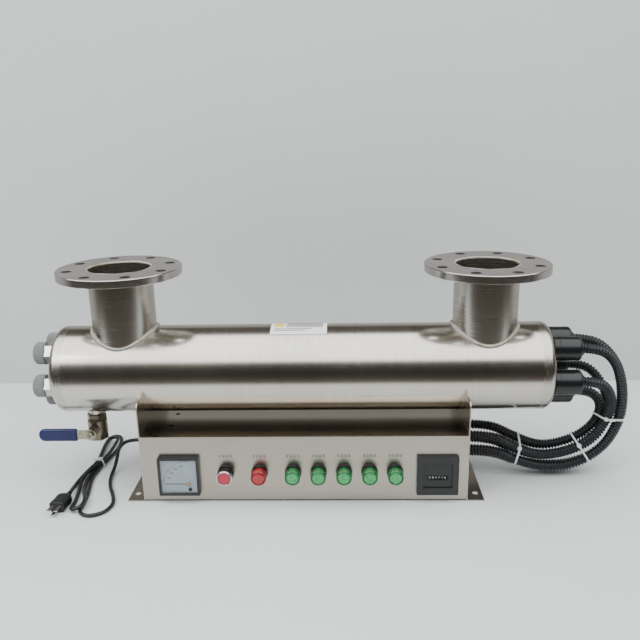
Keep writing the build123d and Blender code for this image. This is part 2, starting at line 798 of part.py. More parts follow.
screw_spots = [(x, z) for x in (-stand_x + 30, 0, stand_x - 30) for z in (box_bottom_z + 12, box_top_z - 12)]
with BuildPart() as rear_panel:
    with BuildSketch(facing_front(rear_y, 0, (box_top_z + box_bottom_z) / 2)):
        Rectangle(box_width, box_height)
        for group_x in (-vent_group_x, vent_group_x):
            with Locations((group_x, 0)):
                with GridLocations(0, vent_pitch, 1, vent_count):
                    SlotOverall(vent_length, vent_height, mode=Mode.SUBTRACT)
    extrude(amount=sheet)
    with BuildSketch(facing_front(rear_y)):
        with Locations(*screw_spots):
            Circle(screw_shank_d / 2)
    extrude(amount=sheet, mode=Mode.SUBTRACT)
save(rear_panel.part, "rear_panel")

screws = []
for x, z in screw_spots:
    with BuildPart() as screw:
        with BuildSketch(facing_front(rear_y, x, z)):
            Circle(screw_shank_d / 2)
        extrude(amount=6)
        with BuildSketch(facing_front(rear_y, x, z)):
            Circle(screw_head_d / 2)
        extrude(amount=-screw_head_h)
        fillet(screw.edges().filter_by(GeomType.CIRCLE).sort_by(Axis.Y)[-1], 1.2)
    screws.append(screw.part)
save(Compound(children=screws), "panel_screws")

# ---- voltmeter -----------------------------------------------------------
bezel_front_y = front_y - meter_bezel_depth
dial_back_y = bezel_front_y + dial_recess
dial_w = meter_size - 2 * meter_border
with BuildPart() as voltmeter_case:
    with BuildSketch(facing_front(front_y, meter_x, meter_z)):
        RectangleRounded(meter_size, meter_size, 2)
    extrude(amount=meter_bezel_depth)
    with BuildSketch(facing_front(front_y, meter_x, meter_z)):
        Circle(meter_body_d / 2)
    extrude(amount=-meter_body_depth)
    with BuildSketch(facing_front(dial_back_y, meter_x, meter_z)):
        Rectangle(dial_w, dial_w)
    extrude(amount=dial_recess, mode=Mode.SUBTRACT)
    with BuildSketch(facing_front(dial_back_y, meter_x, meter_z)):
        Circle(meter_body_d / 2 - 3)
    extrude(amount=-meter_body_depth + 3, mode=Mode.SUBTRACT)
save(voltmeter_case.part, "voltmeter_case")

with BuildPart() as voltmeter_dial:
    with BuildSketch(facing_front(dial_back_y, meter_x, meter_z)):
        Rectangle(dial_w, dial_w)
        with Locations((pivot_offset, -pivot_offset)):
            Circle(spindle_d / 2 + stem_fit, mode=Mode.SUBTRACT)
    extrude(amount=dial_thickness)
save(voltmeter_dial.part, "voltmeter_dial")

pivot_x = meter_x + pivot_offset
pivot_z = meter_z - pivot_offset
pointer_y = dial_back_y - dial_thickness - pointer_gap
with BuildPart() as voltmeter_pointer:
    with BuildSketch(facing_front(pointer_y, pivot_x, pivot_z)):
        Circle(3.5)
        with Locations((-pointer_length / 2, 0)):
            Rectangle(pointer_length, pointer_width)
    extrude(amount=pointer_thickness)
    with BuildSketch(facing_front(pointer_y, pivot_x, pivot_z)):
        Circle(spindle_d / 2)
    extrude(amount=-spindle_length)
save(voltmeter_pointer.part, "voltmeter_pointer")

with BuildPart() as voltmeter_window:
    with BuildSketch(facing_front(bezel_front_y + glass_thickness + 0.5, meter_x, meter_z)):
        Rectangle(dial_w, dial_w)
    extrude(amount=glass_thickness)
save(voltmeter_window.part, "voltmeter_window")

# ---- hour meter ----------------------------------------------------------
counter_front_y = front_y - counter_bezel_depth
face_y = counter_front_y + counter_recess_depth
face_wall = 1.5
drum_axis_y = face_y + face_wall + drum_r + drum_gap
row_z = counter_z - counter_row_drop
drum_pitch = drum_width + drum_gap
row_w = drum_count * drum_pitch + 1
with BuildPart() as hour_meter_case:
    with BuildSketch(facing_front(front_y, counter_x, counter_z)):
        RectangleRounded(meter_size, meter_size, 2)
    extrude(amount=counter_bezel_depth)
    with BuildSketch(facing_front(front_y, counter_x, counter_z)):
        Rectangle(counter_body, counter_body)
    extrude(amount=-counter_body_depth)
    with BuildSketch(facing_front(face_y, counter_x, counter_z)):
        Rectangle(counter_recess_w, counter_recess_h)
    extrude(amount=counter_recess_depth, mode=Mode.SUBTRACT)
    with BuildSketch(facing_front(face_y + face_wall, counter_x, row_z)):
        Rectangle(row_w + 1, 2 * drum_r + 2)
    extrude(amount=-2 * drum_r - 4, mode=Mode.SUBTRACT)
    with BuildSketch(facing_front(face_y + face_wall, counter_x, row_z)):
        Rectangle(counter_slot_w, counter_slot_h)
    extrude(amount=face_wall, mode=Mode.SUBTRACT)
save(hour_meter_case.part, "hour_meter_case")

row_left = counter_x - drum_count * drum_pitch / 2
with BuildPart() as counter_drums:
    with BuildSketch(across_x(counter_x - row_w / 2 - 0.5, drum_axis_y, row_z)):
        Circle(drum_axle_d / 2)
    extrude(amount=row_w + 1)
    for i in range(drum_count - 1):
        with BuildSketch(across_x(row_left + i * drum_pitch, drum_axis_y, row_z)):
            Circle(drum_r)
        extrude(amount=drum_width)
save(counter_drums.part, "counter_drums")

with BuildPart() as fast_drum:
    with BuildSketch(across_x(row_left + (drum_count - 1) * drum_pitch, drum_axis_y, row_z)):
        Circle(drum_r)
        Circle(drum_axle_d / 2 + drum_fit, mode=Mode.SUBTRACT)
    extrude(amount=drum_width)
save(fast_drum.part, "fast_drum")

# ---- power switch and indicators -----------------------------------------
head_front_y = front_y - head_length
base_front_y = front_y - head_base_length
collar_front_y = head_front_y + button_proud
with BuildPart() as switch_body:
    with BuildSketch(facing_front(front_y, switch_x, lamp_row_z)):
        Circle(head_base_od / 2)
    extrude(amount=head_base_length)
    with BuildSketch(facing_front(base_front_y, switch_x, lamp_row_z)):
        Circle(head_od / 2)
    extrude(amount=base_front_y - collar_front_y)
    with BuildSketch(facing_front(front_y, switch_x, lamp_row_z)):
        Circle(barrel_d / 2)
    extrude(amount=-barrel_length)
    with BuildSketch(facing_front(front_y + barrel_length, switch_x, lamp_row_z)):
        Rectangle(contact_size[0], contact_size[1])
    extrude(amount=-contact_size[2])
    with BuildSketch(facing_front(base_front_y, switch_x, lamp_row_z)):
        Circle(button_d / 2 + button_gap)
    extrude(amount=base_front_y - collar_front_y, mode=Mode.SUBTRACT)
    with BuildSketch(facing_front(front_y + barrel_length, switch_x, lamp_row_z)):
        Circle(button_stem_d / 2 + stem_fit)
    extrude(amount=barrel_length + head_base_length, mode=Mode.SUBTRACT)
save(switch_body.part, "switch_body")

button_back_y = base_front_y - button_travel - 0.5
with BuildPart() as switch_button:
    with BuildSketch(facing_front(button_back_y, switch_x, lamp_row_z)):
        Circle(button_d / 2)
    extrude(amount=button_back_y - head_front_y)
    fillet(switch_button.edges().filter_by(GeomType.CIRCLE).sort_by(Axis.Y)[0], 1.5)
    with BuildSketch(facing_front(button_back_y, switch_x, lamp_row_z)):
        Circle(button_stem_d / 2)
    extrude(amount=-(front_y + barrel_length - button_travel - 1 - button_back_y))
save(switch_button.part, "switch_button")


def make_indicator_body(x):
    with BuildPart() as body:
        with BuildSketch(facing_front(front_y, x, lamp_row_z)):
            Circle(head_base_od / 2)
        extrude(amount=head_base_length)
        with BuildSketch(facing_front(front_y, x, lamp_row_z)):
            Circle(barrel_d / 2)
        extrude(amount=-barrel_length)
    return body.part


def make_lens(x):
    with BuildPart() as lens:
        with BuildSketch(facing_front(base_front_y, x, lamp_row_z)):
            Circle(head_od / 2)
        extrude(amount=base_front_y - head_front_y)
        fillet(lens.edges().filter_by(GeomType.CIRCLE).sort_by(Axis.Y)[0], 1.0)
        with BuildSketch(facing_front(base_front_y, x, lamp_row_z)):
            Circle(head_od / 2 - 2)
        extrude(amount=base_front_y - head_front_y - 3, mode=Mode.SUBTRACT)
    return lens.part


save(Compound(children=[make_indicator_body(x) for x in head_xs[1:]]), "indicator_bodies")
save(make_lens(red_x), "red_lens")
save(Compound(children=[make_lens(x) for x in green_xs]), "green_lenses")

# ---- ballasts and terminal block -----------------------------------------
floor_z = box_bottom_z + sheet
ballast_length = ballast_size[0] * panel_spread
terminal_x = terminal_place * panel_spread
ballasts = []
for i in range(lamp_count):
    with BuildPart() as ballast:
        with BuildSketch(Plane.XY.offset(floor_z)):
            with Locations(((ballast_first_place + i * ballast_pitch) * panel_spread, ballast_y)):
                Rectangle(ballast_length, ballast_size[1])
        extrude(amount=ballast_size[2])
        fillet(ballast.edges().filter_by(Axis.Z), 3)
    ballasts.append(ballast.part)
save(Compound(children=ballasts), "ballasts")

way_count = 6
way_pitch = terminal_size[0] / way_count
with BuildPart() as terminal_block:
    with BuildSketch(Plane.XY.offset(floor_z)):
        with Locations((terminal_x, ballast_y)):
            Rectangle(terminal_size[0], terminal_size[1])
    extrude(amount=terminal_size[2])
    with BuildSketch(Plane.XY.offset(floor_z + terminal_size[2] - 8)):
        with Locations((terminal_x, ballast_y)):
            with GridLocations(way_pitch, terminal_size[1] - 8, way_count, 2):
                Circle(3)
    extrude(amount=8, mode=Mode.SUBTRACT)
save(terminal_block.part, "terminal_block")

# ---- mains cord: gland, lead, tied hank, plug ----------------------------
gland_tip_x = -stand_x - gland_length
with BuildPart() as cord_gland:
    with BuildSketch(across_x(-stand_x, gland_y, gland_z)):
        RegularPolygon(gland_od / 2, 6, major_radius=False)
    extrude(amount=-8)
    with BuildSketch(across_x(-stand_x - 8, gland_y, gland_z)):
        Circle(gland_od / 2 - 1)
    with BuildSketch(across_x(gland_tip_x, gland_y, gland_z)):
        Circle(cord_od / 2 + 1)
    loft()
    with BuildSketch(across_x(-stand_x, gland_y, gland_z)):
        Circle(gland_thread_d / 2)
    extrude(amount=sheet + 6)
save(cord_gland.part, "cord_gland")

lead_z = cord_od / 2 + 0.2
lead_route = [(-322, gland_y, gland_z), (-345, gland_y, gland_z), (-366, 14, 52), (-375, 24, 25),
              (-379, 13, 7), (-378, -16, lead_z), (-368, -52, lead_z), (-352, -84, lead_z),
              (-341, -116, lead_z), (-350, -145, lead_z), (-375, -156, lead_z),
              (-395, -143, lead_z), (-395, -116, lead_z)]
lead_course = carried(lead_route, (gland_tip_x, gland_y, gland_z), lead_route[-1], lead_route[1][0])
save(make_tube("mains_lead", lead_course, cord_od), "mains_lead")

# Outer shape of the tied hank: two long loops lying flat, drawn in where the tie holds them.
hank_far = [(-420.3, 31), (-430, 60), (-438, 110), (-439, 155), (-427, 176), (-411, 168),
            (-401, 140), (-397, 95), (-401, 58), (-406.3, 31)]
hank_near = [(-406.3, 33), (-409.6, 14), (-409.6, -14), (-405, -42), (-396, -80), (-391, -116), (-399, -116),
             (-401, -146), (-409, -132), (-415, -111), (-421, -93), (-426.5, -84), (-434, -84), (-438, -55),
             (-438, -14), (-432, 14), (-420.3, 33)]


def make_slab(outline, height):
    with BuildPart() as slab:
        with BuildSketch(Plane.XY.offset(0.3)):
            with BuildLine():
                Polyline(*outline, close=True)
            make_face()
        extrude(amount=height)
    return slab.part


tie_y = 31.0
hank_tie_x = -413.3
hank_tie_w = 16.6
tie_height = hank_height + 2 * hank_tie_band + 0.6
with BuildPart() as hank_tie:
    with BuildSketch(Plane(origin=(hank_tie_x, tie_y, 0.05 + tie_height / 2), x_dir=(1, 0, 0), z_dir=(0, -1, 0))):
        RectangleRounded(hank_tie_w, tie_height, 3)
        RectangleRounded(hank_tie_w - 2 * hank_tie_band, tie_height - 2 * hank_tie_band, 3 - hank_tie_band,
                         mode=Mode.SUBTRACT)
    extrude(amount=2.5, both=True)
save(hank_tie.part, "hank_tie")

with BuildPart() as mains_hank:
    add(make_slab(hank_far, hank_height))
    add(make_slab(hank_near, hank_low_height))
    add(hank_tie.part, mode=Mode.SUBTRACT)
save(mains_hank.part, "mains_hank")

plug_plane = Plane(origin=(-430.2, -84.8, plug_height / 2 + 0.2), x_dir=(1, -0.1, 0), z_dir=(-0.1, -1, 0))
with BuildPart() as mains_plug:
    with BuildSketch(plug_plane):
        RectangleRounded(9, 9, 4)
    with BuildSketch(plug_plane.offset(plug_tail)):
        RectangleRounded(14, 12, 4)
    loft()
    with BuildSketch(plug_plane.offset(plug_tail)):
        RectangleRounded(plug_width, plug_height, 6)
    extrude(amount=plug_length)
    with BuildSketch(plug_plane.offset(plug_tail + plug_length)):
        with Locations((-plug_pin_spread, 3), (plug_pin_spread, 3), (0, -5)):
            Rectangle(plug_pin_w, plug_pin_t)
    extrude(amount=plug_pin_length)
save(mains_plug.part, "mains_plug")
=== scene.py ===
import math
import bpy
from mathutils import Matrix, Vector


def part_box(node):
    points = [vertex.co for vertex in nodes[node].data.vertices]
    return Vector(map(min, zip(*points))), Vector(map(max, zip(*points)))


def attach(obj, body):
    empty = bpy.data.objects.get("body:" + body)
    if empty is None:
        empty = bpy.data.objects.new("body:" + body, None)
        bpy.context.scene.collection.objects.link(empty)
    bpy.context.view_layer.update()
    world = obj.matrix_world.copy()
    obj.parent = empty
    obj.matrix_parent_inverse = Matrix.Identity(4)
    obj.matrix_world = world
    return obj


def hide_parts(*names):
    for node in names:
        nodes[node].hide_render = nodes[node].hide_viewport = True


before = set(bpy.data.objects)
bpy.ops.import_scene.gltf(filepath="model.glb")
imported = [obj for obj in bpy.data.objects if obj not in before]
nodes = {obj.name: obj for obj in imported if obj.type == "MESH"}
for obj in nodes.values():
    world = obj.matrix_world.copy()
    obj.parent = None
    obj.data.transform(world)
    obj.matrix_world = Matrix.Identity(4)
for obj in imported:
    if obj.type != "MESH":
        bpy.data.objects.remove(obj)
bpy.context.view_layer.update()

scene = bpy.context.scene
zUp = Vector((0, 0, 1))
toFront = Vector((0, -1, 0))

print("camera")
cameraSetup = {
    "place": (0.0735, -1.2346, 0.6668),
    "lens": 40.04,
    "pitchDown": 16.15,
    "yaw": -2.0,
    "roll": -1.14,
}


def placeCamera(setup):
    pitch, yaw, roll = (math.radians(setup[k]) for k in ("pitchDown", "yaw", "roll"))
    forward = Vector((math.sin(yaw) * math.cos(pitch), math.cos(yaw) * math.cos(pitch), -math.sin(pitch)))
    level = Vector((math.cos(yaw), -math.sin(yaw), 0))
    upright = level.cross(forward)
    right = level * math.cos(roll) + upright * math.sin(roll)
    up = upright * math.cos(roll) - level * math.sin(roll)
    data = bpy.data.cameras.new("camera")
    data.lens = setup["lens"]
    data.sensor_width = 36
    data.clip_start = 0.02
    camera = bpy.data.objects.new("camera", data)
    scene.collection.objects.link(camera)
    turn = Matrix((right, up, -forward)).transposed().to_4x4()
    camera.matrix_world = Matrix.Translation(setup["place"]) @ turn
    scene.camera = camera


placeCamera(cameraSetup)


def colour(code):
    # sRGB hex to the linear RGBA that the shaders take
    parts = [int(code[i:i + 2], 16) / 255 for i in (1, 3, 5)]
    return [c / 12.92 if c <= 0.04045 else ((c + 0.055) / 1.055) ** 2.4 for c in parts] + [1.0]


def addNode(tree, kind, settings=None, links=None):
    node = tree.nodes.new("ShaderNode" + kind)
    for key, value in (settings or {}).items():
        if key == "stops":
            ramp = node.color_ramp
            while len(ramp.elements) < len(value):
                ramp.elements.new(0.5)
            for element, (place, shade) in zip(ramp.elements, value):
                element.position = place
                element.color = colour(shade) if isinstance(shade, str) else (shade, shade, shade, 1)
        elif isinstance(key, str) and hasattr(node, key):
            setattr(node, key, value)
        else:
            node.inputs[key].default_value = value
    for key, source in (links or {}).items():
        tree.links.new(source, node.inputs[key])
    return node


def startMaterial(name, **shaderSettings):
    # a named material with its shader, and the object coordinates its patterns are drawn in, in metres
    material = bpy.data.materials.new(name)
    material.use_nodes = True
    tree = material.node_tree
    tree.nodes.clear()
    shader = addNode(tree, "BsdfPrincipled", {k.replace("_", " "): v for k, v in shaderSettings.items()})
    addNode(tree, "OutputMaterial", None, {"Surface": shader.outputs[0]})
    place = addNode(tree, "TexCoord").outputs["Object"]
    return material, tree, shader, place


def stretched(tree, place, scale, shift=(0, 0, 0)):
    return addNode(tree, "Mapping", {"Scale": scale, "Location": shift}, {"Vector": place}).outputs[0]


def tintAndRoughen(tree, shader, factor, colours, roughness, bump=0.0, distance=0.0001):
    # one pattern drives the colour, the roughness and the relief together
    ramp = addNode(tree, "ValToRGB", {"stops": [(0.25, colours[0]), (0.75, colours[1])]}, {"Fac": factor})
    tree.links.new(ramp.outputs[0], shader.inputs["Base Color"])
    level = addNode(tree, "MapRange", {"To Min": roughness[0], "To Max": roughness[1]}, {"Value": factor})
    tree.links.new(level.outputs[0], shader.inputs["Roughness"])
    if bump:
        relief = addNode(tree, "Bump", {"Strength": bump, "Distance": distance}, {"Height": factor})
        tree.links.new(relief.outputs[0], shader.inputs["Normal"])


def paint(piece, *materials):
    piece.data.materials.clear()
    for material in materials:
        piece.data.materials.append(material)
    return piece


def addMesh(name, points, faces, material, body="frame", hides=(), smooth=True, slot=None):
    mesh = bpy.data.meshes.new(name)
    mesh.from_pydata([tuple(p) for p in points], [], faces)
    mesh.validate()
    mesh.update()
    if smooth:
        mesh.shade_smooth()
    piece = bpy.data.objects.new(name, mesh)
    scene.collection.objects.link(piece)
    paint(piece, material)
    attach(piece, body)
    if hides:
        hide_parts(*hides)
    return piece


def softenEdges(piece, width, segments=2, angle=35):
    # real edges are never knife sharp, and the small round catches the light
    bevel = piece.modifiers.new("softEdges", "BEVEL")
    bevel.width = width
    bevel.segments = segments
    bevel.limit_method = "ANGLE"
    bevel.angle_limit = math.radians(angle)
    bevel.harden_normals = False
    piece.data.shade_smooth()
    byAngle = piece.modifiers.new("flatFaces", "WEIGHTED_NORMAL")
    byAngle.keep_sharp = True


def joinParts(parts):
    # several (points, faces) lists as one
    points, faces = [], []
    for somePoints, someFaces in parts:
        start = len(points)
        points += list(somePoints)
        faces += [tuple(i + start for i in face) for face in someFaces]
    return points, faces


def turned(profile, centre, axis, segments=48, radial=None, closed=False):
    # profile of (along, radius) turned about an axis through centre; radial(turn, k) scales the radius
    axis = Vector(axis).normalized()
    side = axis.orthogonal().normalized()
    if abs(axis.x) > 0.9:
        side = zUp
    other = axis.cross(side)
    points, faces = [], []
    for k, (along, radius) in enumerate(profile):
        for i in range(segments):
            turn = 2 * math.pi * i / segments
            r = radius * (radial(turn, k) if radial else 1)
            points.append(Vector(centre) + axis * along + side * (r * math.cos(turn)) + other * (r * math.sin(turn)))
    count = len(profile)
    for k in range(count if closed else count - 1):
        for i in range(segments):
            a, b = k * segments + i, k * segments + (i + 1) % segments
            c, d = ((k + 1) % count) * segments + (i + 1) % segments, ((k + 1) % count) * segments + i
            faces.append((a, b, c, d))
    if not closed:
        faces.append(tuple(reversed(range(segments))))
        faces.append(tuple(range((count - 1) * segments, count * segments)))
    return points, faces


def tube(path, radiusAt, segments=14):
    # skin round a line of points, with its frame carried along so that it doesn't twist
    path = [Vector(p) for p in path]
    points, faces = [], []
    side = None
    run = 0.0
    for i, here in enumerate(path):
        ahead = (path[min(i + 1, len(path) - 1)] - path[max(i - 1, 0)]).normalized()
        side = ahead.orthogonal() if side is None else side - ahead * side.dot(ahead)
        side.normalize()
        other = ahead.cross(side)
        if i:
            run += (here - path[i - 1]).length
        r = radiusAt(run)
        for k in range(segments):
            turn = 2 * math.pi * k / segments
            points.append(here + side * (r * math.cos(turn)) + other * (r * math.sin(turn)))
    for i in range(len(path) - 1):
        for k in range(segments):
            a, b = i * segments + k, i * segments + (k + 1) % segments
            faces.append((a, b, b + segments, a + segments))
    faces.append(tuple(reversed(range(segments))))
    faces.append(tuple(range((len(path) - 1) * segments, len(path) * segments)))
    return points, faces


def slab(outline, origin, acrossX, acrossY, depth, inset=0.0):
    # flat outline raised by depth, with its front edge drawn in by inset
    acrossX, acrossY = Vector(acrossX), Vector(acrossY)
    out = acrossX.cross(acrossY)
    middle = Vector((sum(p[0] for p in outline) / len(outline), sum(p[1] for p in outline) / len(outline)))
    points = []
    levels = [(0, 0), (depth - inset, 0), (depth, inset)] if inset else [(0, 0), (depth, 0)]
    for height, shrink in levels:
        for x, y in outline:
            away = Vector((x, y)) - middle
            near = middle + away * (1 - shrink / max(away.length, 1e-6))
            points.append(Vector(origin) + acrossX * near.x + acrossY * near.y + out * height)
    n = len(outline)
    faces = [tuple(reversed(range(n))), tuple(range((len(levels) - 1) * n, len(levels) * n))]
    for level in range(len(levels) - 1):
        for i in range(n):
            j = (i + 1) % n
            faces.append((level * n + i, level * n + j, (level + 1) * n + j, (level + 1) * n + i))
    return points, faces


def roundedBox(width, height, corner, steps=5):
    corners = [(1, 1, 0), (-1, 1, 90), (-1, -1, 180), (1, -1, 270)]
    outline = []
    for sx, sy, start in corners:
        for i in range(steps + 1):
            turn = math.radians(start + 90 * i / steps)
            outline.append((sx * (width / 2 - corner) + corner * math.cos(turn),
                            sy * (height / 2 - corner) + corner * math.sin(turn)))
    return outline


def routeCurve(name, points, bevel=0.0):
    data = bpy.data.curves.new(name, "CURVE")
    data.dimensions = "3D"
    spline = data.splines.new("NURBS")
    spline.points.add(len(points) - 1)
    for spot, place in zip(spline.points, points):
        spot.co = (*place, 1)
    spline.order_u = 3
    spline.use_endpoint_u = True
    data.resolution_u = 12
    data.bevel_depth = bevel
    data.bevel_resolution = 5
    data.use_fill_caps = True
    curve = bpy.data.objects.new(name, data)
    scene.collection.objects.link(curve)
    return curve


def smoothLine(name, points, step):
    # evenly spaced points along the smooth curve that the route makes
    curve = routeCurve(name, points)
    mesh = bpy.data.meshes.new_from_object(curve)
    line = [v.co.copy() for v in mesh.vertices]
    bpy.data.objects.remove(curve)
    bpy.data.meshes.remove(mesh)
    runs = [(b - a).length for a, b in zip(line, line[1:])]
    total = sum(runs)
    count = round(total / step)
    even, k, done = [line[0]], 0, 0.0
    for i in range(1, count):
        target = total * i / count
        while done + runs[k] < target:
            done += runs[k]
            k += 1
        even.append(line[k].lerp(line[k + 1], (target - done) / runs[k]))
    even.append(line[-1])
    return even, total


def mouldedPlastic(name, shade, roughness=(0.35, 0.5), grain=2500, bump=0.08):
    # fine spark-eroded grain; it breaks up the highlight so the plastic doesn't look wet
    material, tree, shader, place = startMaterial(name, IOR=1.46)
    fine = addNode(tree, "TexNoise", {"Scale": grain, "Detail": 3}, {"Vector": place}).outputs[0]
    tintAndRoughen(tree, shader, fine, (shade, shade), roughness, bump, 0.00008)
    wide = addNode(tree, "TexNoise", {"Scale": 22, "Detail": 5}, {"Vector": place}).outputs[0]
    base = colour(shade)
    worn = addNode(tree, "Mix", {"data_type": "RGBA", "blend_type": "MIX", 6: base,
                                           7: [min(c * 1.7 + 0.004, 1) for c in base[:3]] + [1]}, {0: wide})
    tree.links.new(worn.outputs[2], shader.inputs["Base Color"])
    return material


conduitPlastic = mouldedPlastic("extruded black polyamide, ribbed", "#16181A", (0.28, 0.5), 900, 0.1)
leadRubber = mouldedPlastic("extruded black PVC cord sheath", "#151617", (0.32, 0.45), 1200, 0.1)
plugRubber = mouldedPlastic("moulded black rubber", "#131415", (0.4, 0.6), 1800, 0.15)
tieNylon = mouldedPlastic("injection moulded natural nylon", "#C9CBC6", (0.35, 0.5), 700, 0.05)
tieNylon.node_tree.nodes["Principled BSDF"].inputs["Subsurface Weight"].default_value = 0.15
glandPlastic = mouldedPlastic("moulded black nylon gland", "#17191A", (0.3, 0.45), 1500, 0.1)

print("conduits")
conduitLook = {"diameter": 0.0185, "ribPitch": 0.0056, "ribDepth": 0.0024, "perRib": 6, "around": 20}
conduitRoutes = {
    "conduit_1": [
        (0.4895, 0.0294, 0.2605), (0.530, 0.0294, 0.2605), (0.565, 0.024, 0.234), (0.585, 0.017, 0.193),
        (0.592, 0.012, 0.146), (0.587, 0.011, 0.096), (0.561, 0.011, 0.047), (0.512, 0.011, 0.018),
        (0.457, 0.012, 0.0115), (0.402, 0.014, 0.020), (0.352, 0.016, 0.040), (0.306, 0.016, 0.040),
    ],
    "conduit_2": [
        (0.4895, -0.0294, 0.2605), (0.527, -0.0294, 0.2605), (0.558, -0.022, 0.233), (0.574, -0.015, 0.192),
        (0.580, -0.012, 0.144), (0.573, -0.011, 0.097), (0.548, -0.011, 0.054), (0.505, -0.011, 0.026),
        (0.455, -0.012, 0.0195), (0.399, -0.014, 0.033), (0.349, -0.016, 0.060), (0.306, -0.016, 0.060),
    ],
    "conduit_3": [
        (0.4895, 0.0476, 0.2045), (0.522, 0.0476, 0.2045), (0.548, 0.038, 0.186), (0.563, 0.025, 0.154),
        (0.566, 0.014, 0.117), (0.553, 0.011, 0.080), (0.525, 0.011, 0.053), (0.485, 0.011, 0.038),
        (0.440, 0.012, 0.032), (0.391, 0.014, 0.047), (0.348, 0.016, 0.068), (0.306, 0.016, 0.068),
    ],
    "conduit_4": [
        (0.4895, -0.0476, 0.2045), (0.521, -0.0476, 0.2045), (0.545, -0.037, 0.184), (0.557, -0.024, 0.152),
        (0.554, -0.014, 0.118), (0.537, -0.011, 0.086), (0.507, -0.011, 0.062), (0.468, -0.011, 0.047),
        (0.426, -0.012, 0.046), (0.384, -0.014, 0.066), (0.345, -0.016, 0.088), (0.306, -0.016, 0.088),
    ],
    "conduit_5": [
        (0.4895, 0.0, 0.170), (0.519, 0.0, 0.170), (0.541, 0.0005, 0.155), (0.548, 0.002, 0.130),
        (0.539, 0.007, 0.100), (0.512, 0.011, 0.073), (0.473, 0.011, 0.058), (0.436, 0.012, 0.054),
        (0.389, 0.013, 0.074), (0.348, 0.016, 0.096), (0.306, 0.016, 0.096),
    ],
}


def ribbedRadius(run):
    # flat-topped rings with a narrow groove between them, as corrugated conduit is moulded
    wave = math.sin(2 * math.pi * run / conduitLook["ribPitch"])
    groove = max(0.0, 0.15 - wave) ** 0.6
    return conduitLook["diameter"] / 2 - conduitLook["ribDepth"] * groove


for name, route in conduitRoutes.items():
    line, length = smoothLine(name + "_line", route, conduitLook["ribPitch"] / conduitLook["perRib"])
    points, faces = tube(line, ribbedRadius, conduitLook["around"])
    piece = addMesh(name.replace("_", "") + "Ribbed", points, faces, conduitPlastic, hides=(name,),
                    slot="black_plastic")

print("mains cord")
cordLook = {"diameter": 0.007, "tieBand": 0.0038, "tieThick": 0.0011}
mainsRoute = [
    (-0.322, 0.008, 0.07), (-0.345, 0.008, 0.07), (-0.366, 0.014, 0.052), (-0.375, 0.024, 0.025),
    (-0.379, 0.013, 0.007), (-0.378, -0.016, 0.0037), (-0.368, -0.052, 0.0037), (-0.352, -0.084, 0.0037),
    (-0.341, -0.116, 0.0037), (-0.35, -0.145, 0.0037), (-0.375, -0.156, 0.0037), (-0.395, -0.143, 0.0037),
    (-0.395, -0.116, 0.0037), (-0.3985, -0.085, 0.0037), (-0.4075, -0.045, 0.0037), (-0.4132, -0.01, 0.0037),
    (-0.4098, 0.031, 0.0051), (-0.404, 0.062, 0.0037), (-0.4, 0.1, 0.0037), (-0.402, 0.14, 0.0037),
    (-0.412, 0.164, 0.0037), (-0.428, 0.166, 0.0037), (-0.434, 0.146, 0.0037), (-0.432, 0.11, 0.0037),
    (-0.4245, 0.065, 0.0037), (-0.4168, 0.031, 0.0051), (-0.4203, -0.01, 0.0037), (-0.416, -0.05, 0.0037),
    (-0.4078, -0.078, 0.0068), (-0.3985, -0.098, 0.0108), (-0.3925, -0.118, 0.011), (-0.3935, -0.139, 0.0108),
    (-0.4112, -0.1405, 0.0066), (-0.4125, -0.112, 0.0037), (-0.4232, -0.055, 0.0037), (-0.429, -0.03, 0.007),
    (-0.4222, -0.002, 0.0112), (-0.4102, 0.031, 0.012), (-0.4065, 0.062, 0.0108), (-0.4065, 0.1, 0.0108),
    (-0.4078, 0.126, 0.0108), (-0.4095, 0.144, 0.0108), (-0.4275, 0.145, 0.0108), (-0.4288, 0.126, 0.0108),
    (-0.427, 0.1, 0.0108), (-0.4215, 0.062, 0.0108), (-0.4172, 0.031, 0.012), (-0.4262, 0.004, 0.0088),
    (-0.4335, -0.022, 0.0045), (-0.4345, -0.052, 0.0052), (-0.4315, -0.076, 0.0092), (-0.4304, -0.088, 0.0102),
]
mainsCord = paint(routeCurve("mainsCord", mainsRoute, cordLook["diameter"] / 2), leadRubber)
mainsLine, mainsLength = smoothLine("mainsCordLine", mainsRoute, 0.003)
print("mains cord length", round(mainsLength, 3))


print("room and light")
roomLook = {"floor": "#DCDFDF", "wall": "#D4D7D6", "wallPlace": 0.506, "wallTop": 1.0, "wallLean": 0.03,
            "halfWidth": 2.2,
            "nearEdge": -0.52, "nearHalf": 1.3, "ceilingSize": (4.2, 2.5), "ceilingPlace": (0, -0.78, 1.55),
            "ceilingWatts": 96, "floorHalf": 2.6, "floorSunk": -0.00005,
            "fillPlace": (-1.5, -1.2, 1.5), "fillWatts": 10}


def foamSheet(name, shade, cell=420):
    # closed-cell foam: a faint pebbled surface that keeps the floor from looking like paper
    material, tree, shader, place = startMaterial(name, IOR=1.45)
    cells = addNode(tree, "TexVoronoi", {"Scale": cell, "feature": "SMOOTH_F1"}, {"Vector": place}).outputs[0]
    wide = addNode(tree, "TexNoise", {"Scale": 3.0, "Detail": 4}, {"Vector": place}).outputs[0]
    tintAndRoughen(tree, shader, wide, (shade, shade), (0.75, 0.95))
    base = colour(shade)
    mottle = addNode(tree, "Mix", {"data_type": "RGBA", 6: base, 7: [c * 0.93 for c in base[:3]] + [1]},
                     {0: wide})
    tree.links.new(mottle.outputs[2], shader.inputs["Base Color"])
    relief = addNode(tree, "Bump", {"Strength": 0.12, "Distance": 0.0006}, {"Height": cells})
    tree.links.new(relief.outputs[0], shader.inputs["Normal"])
    return material


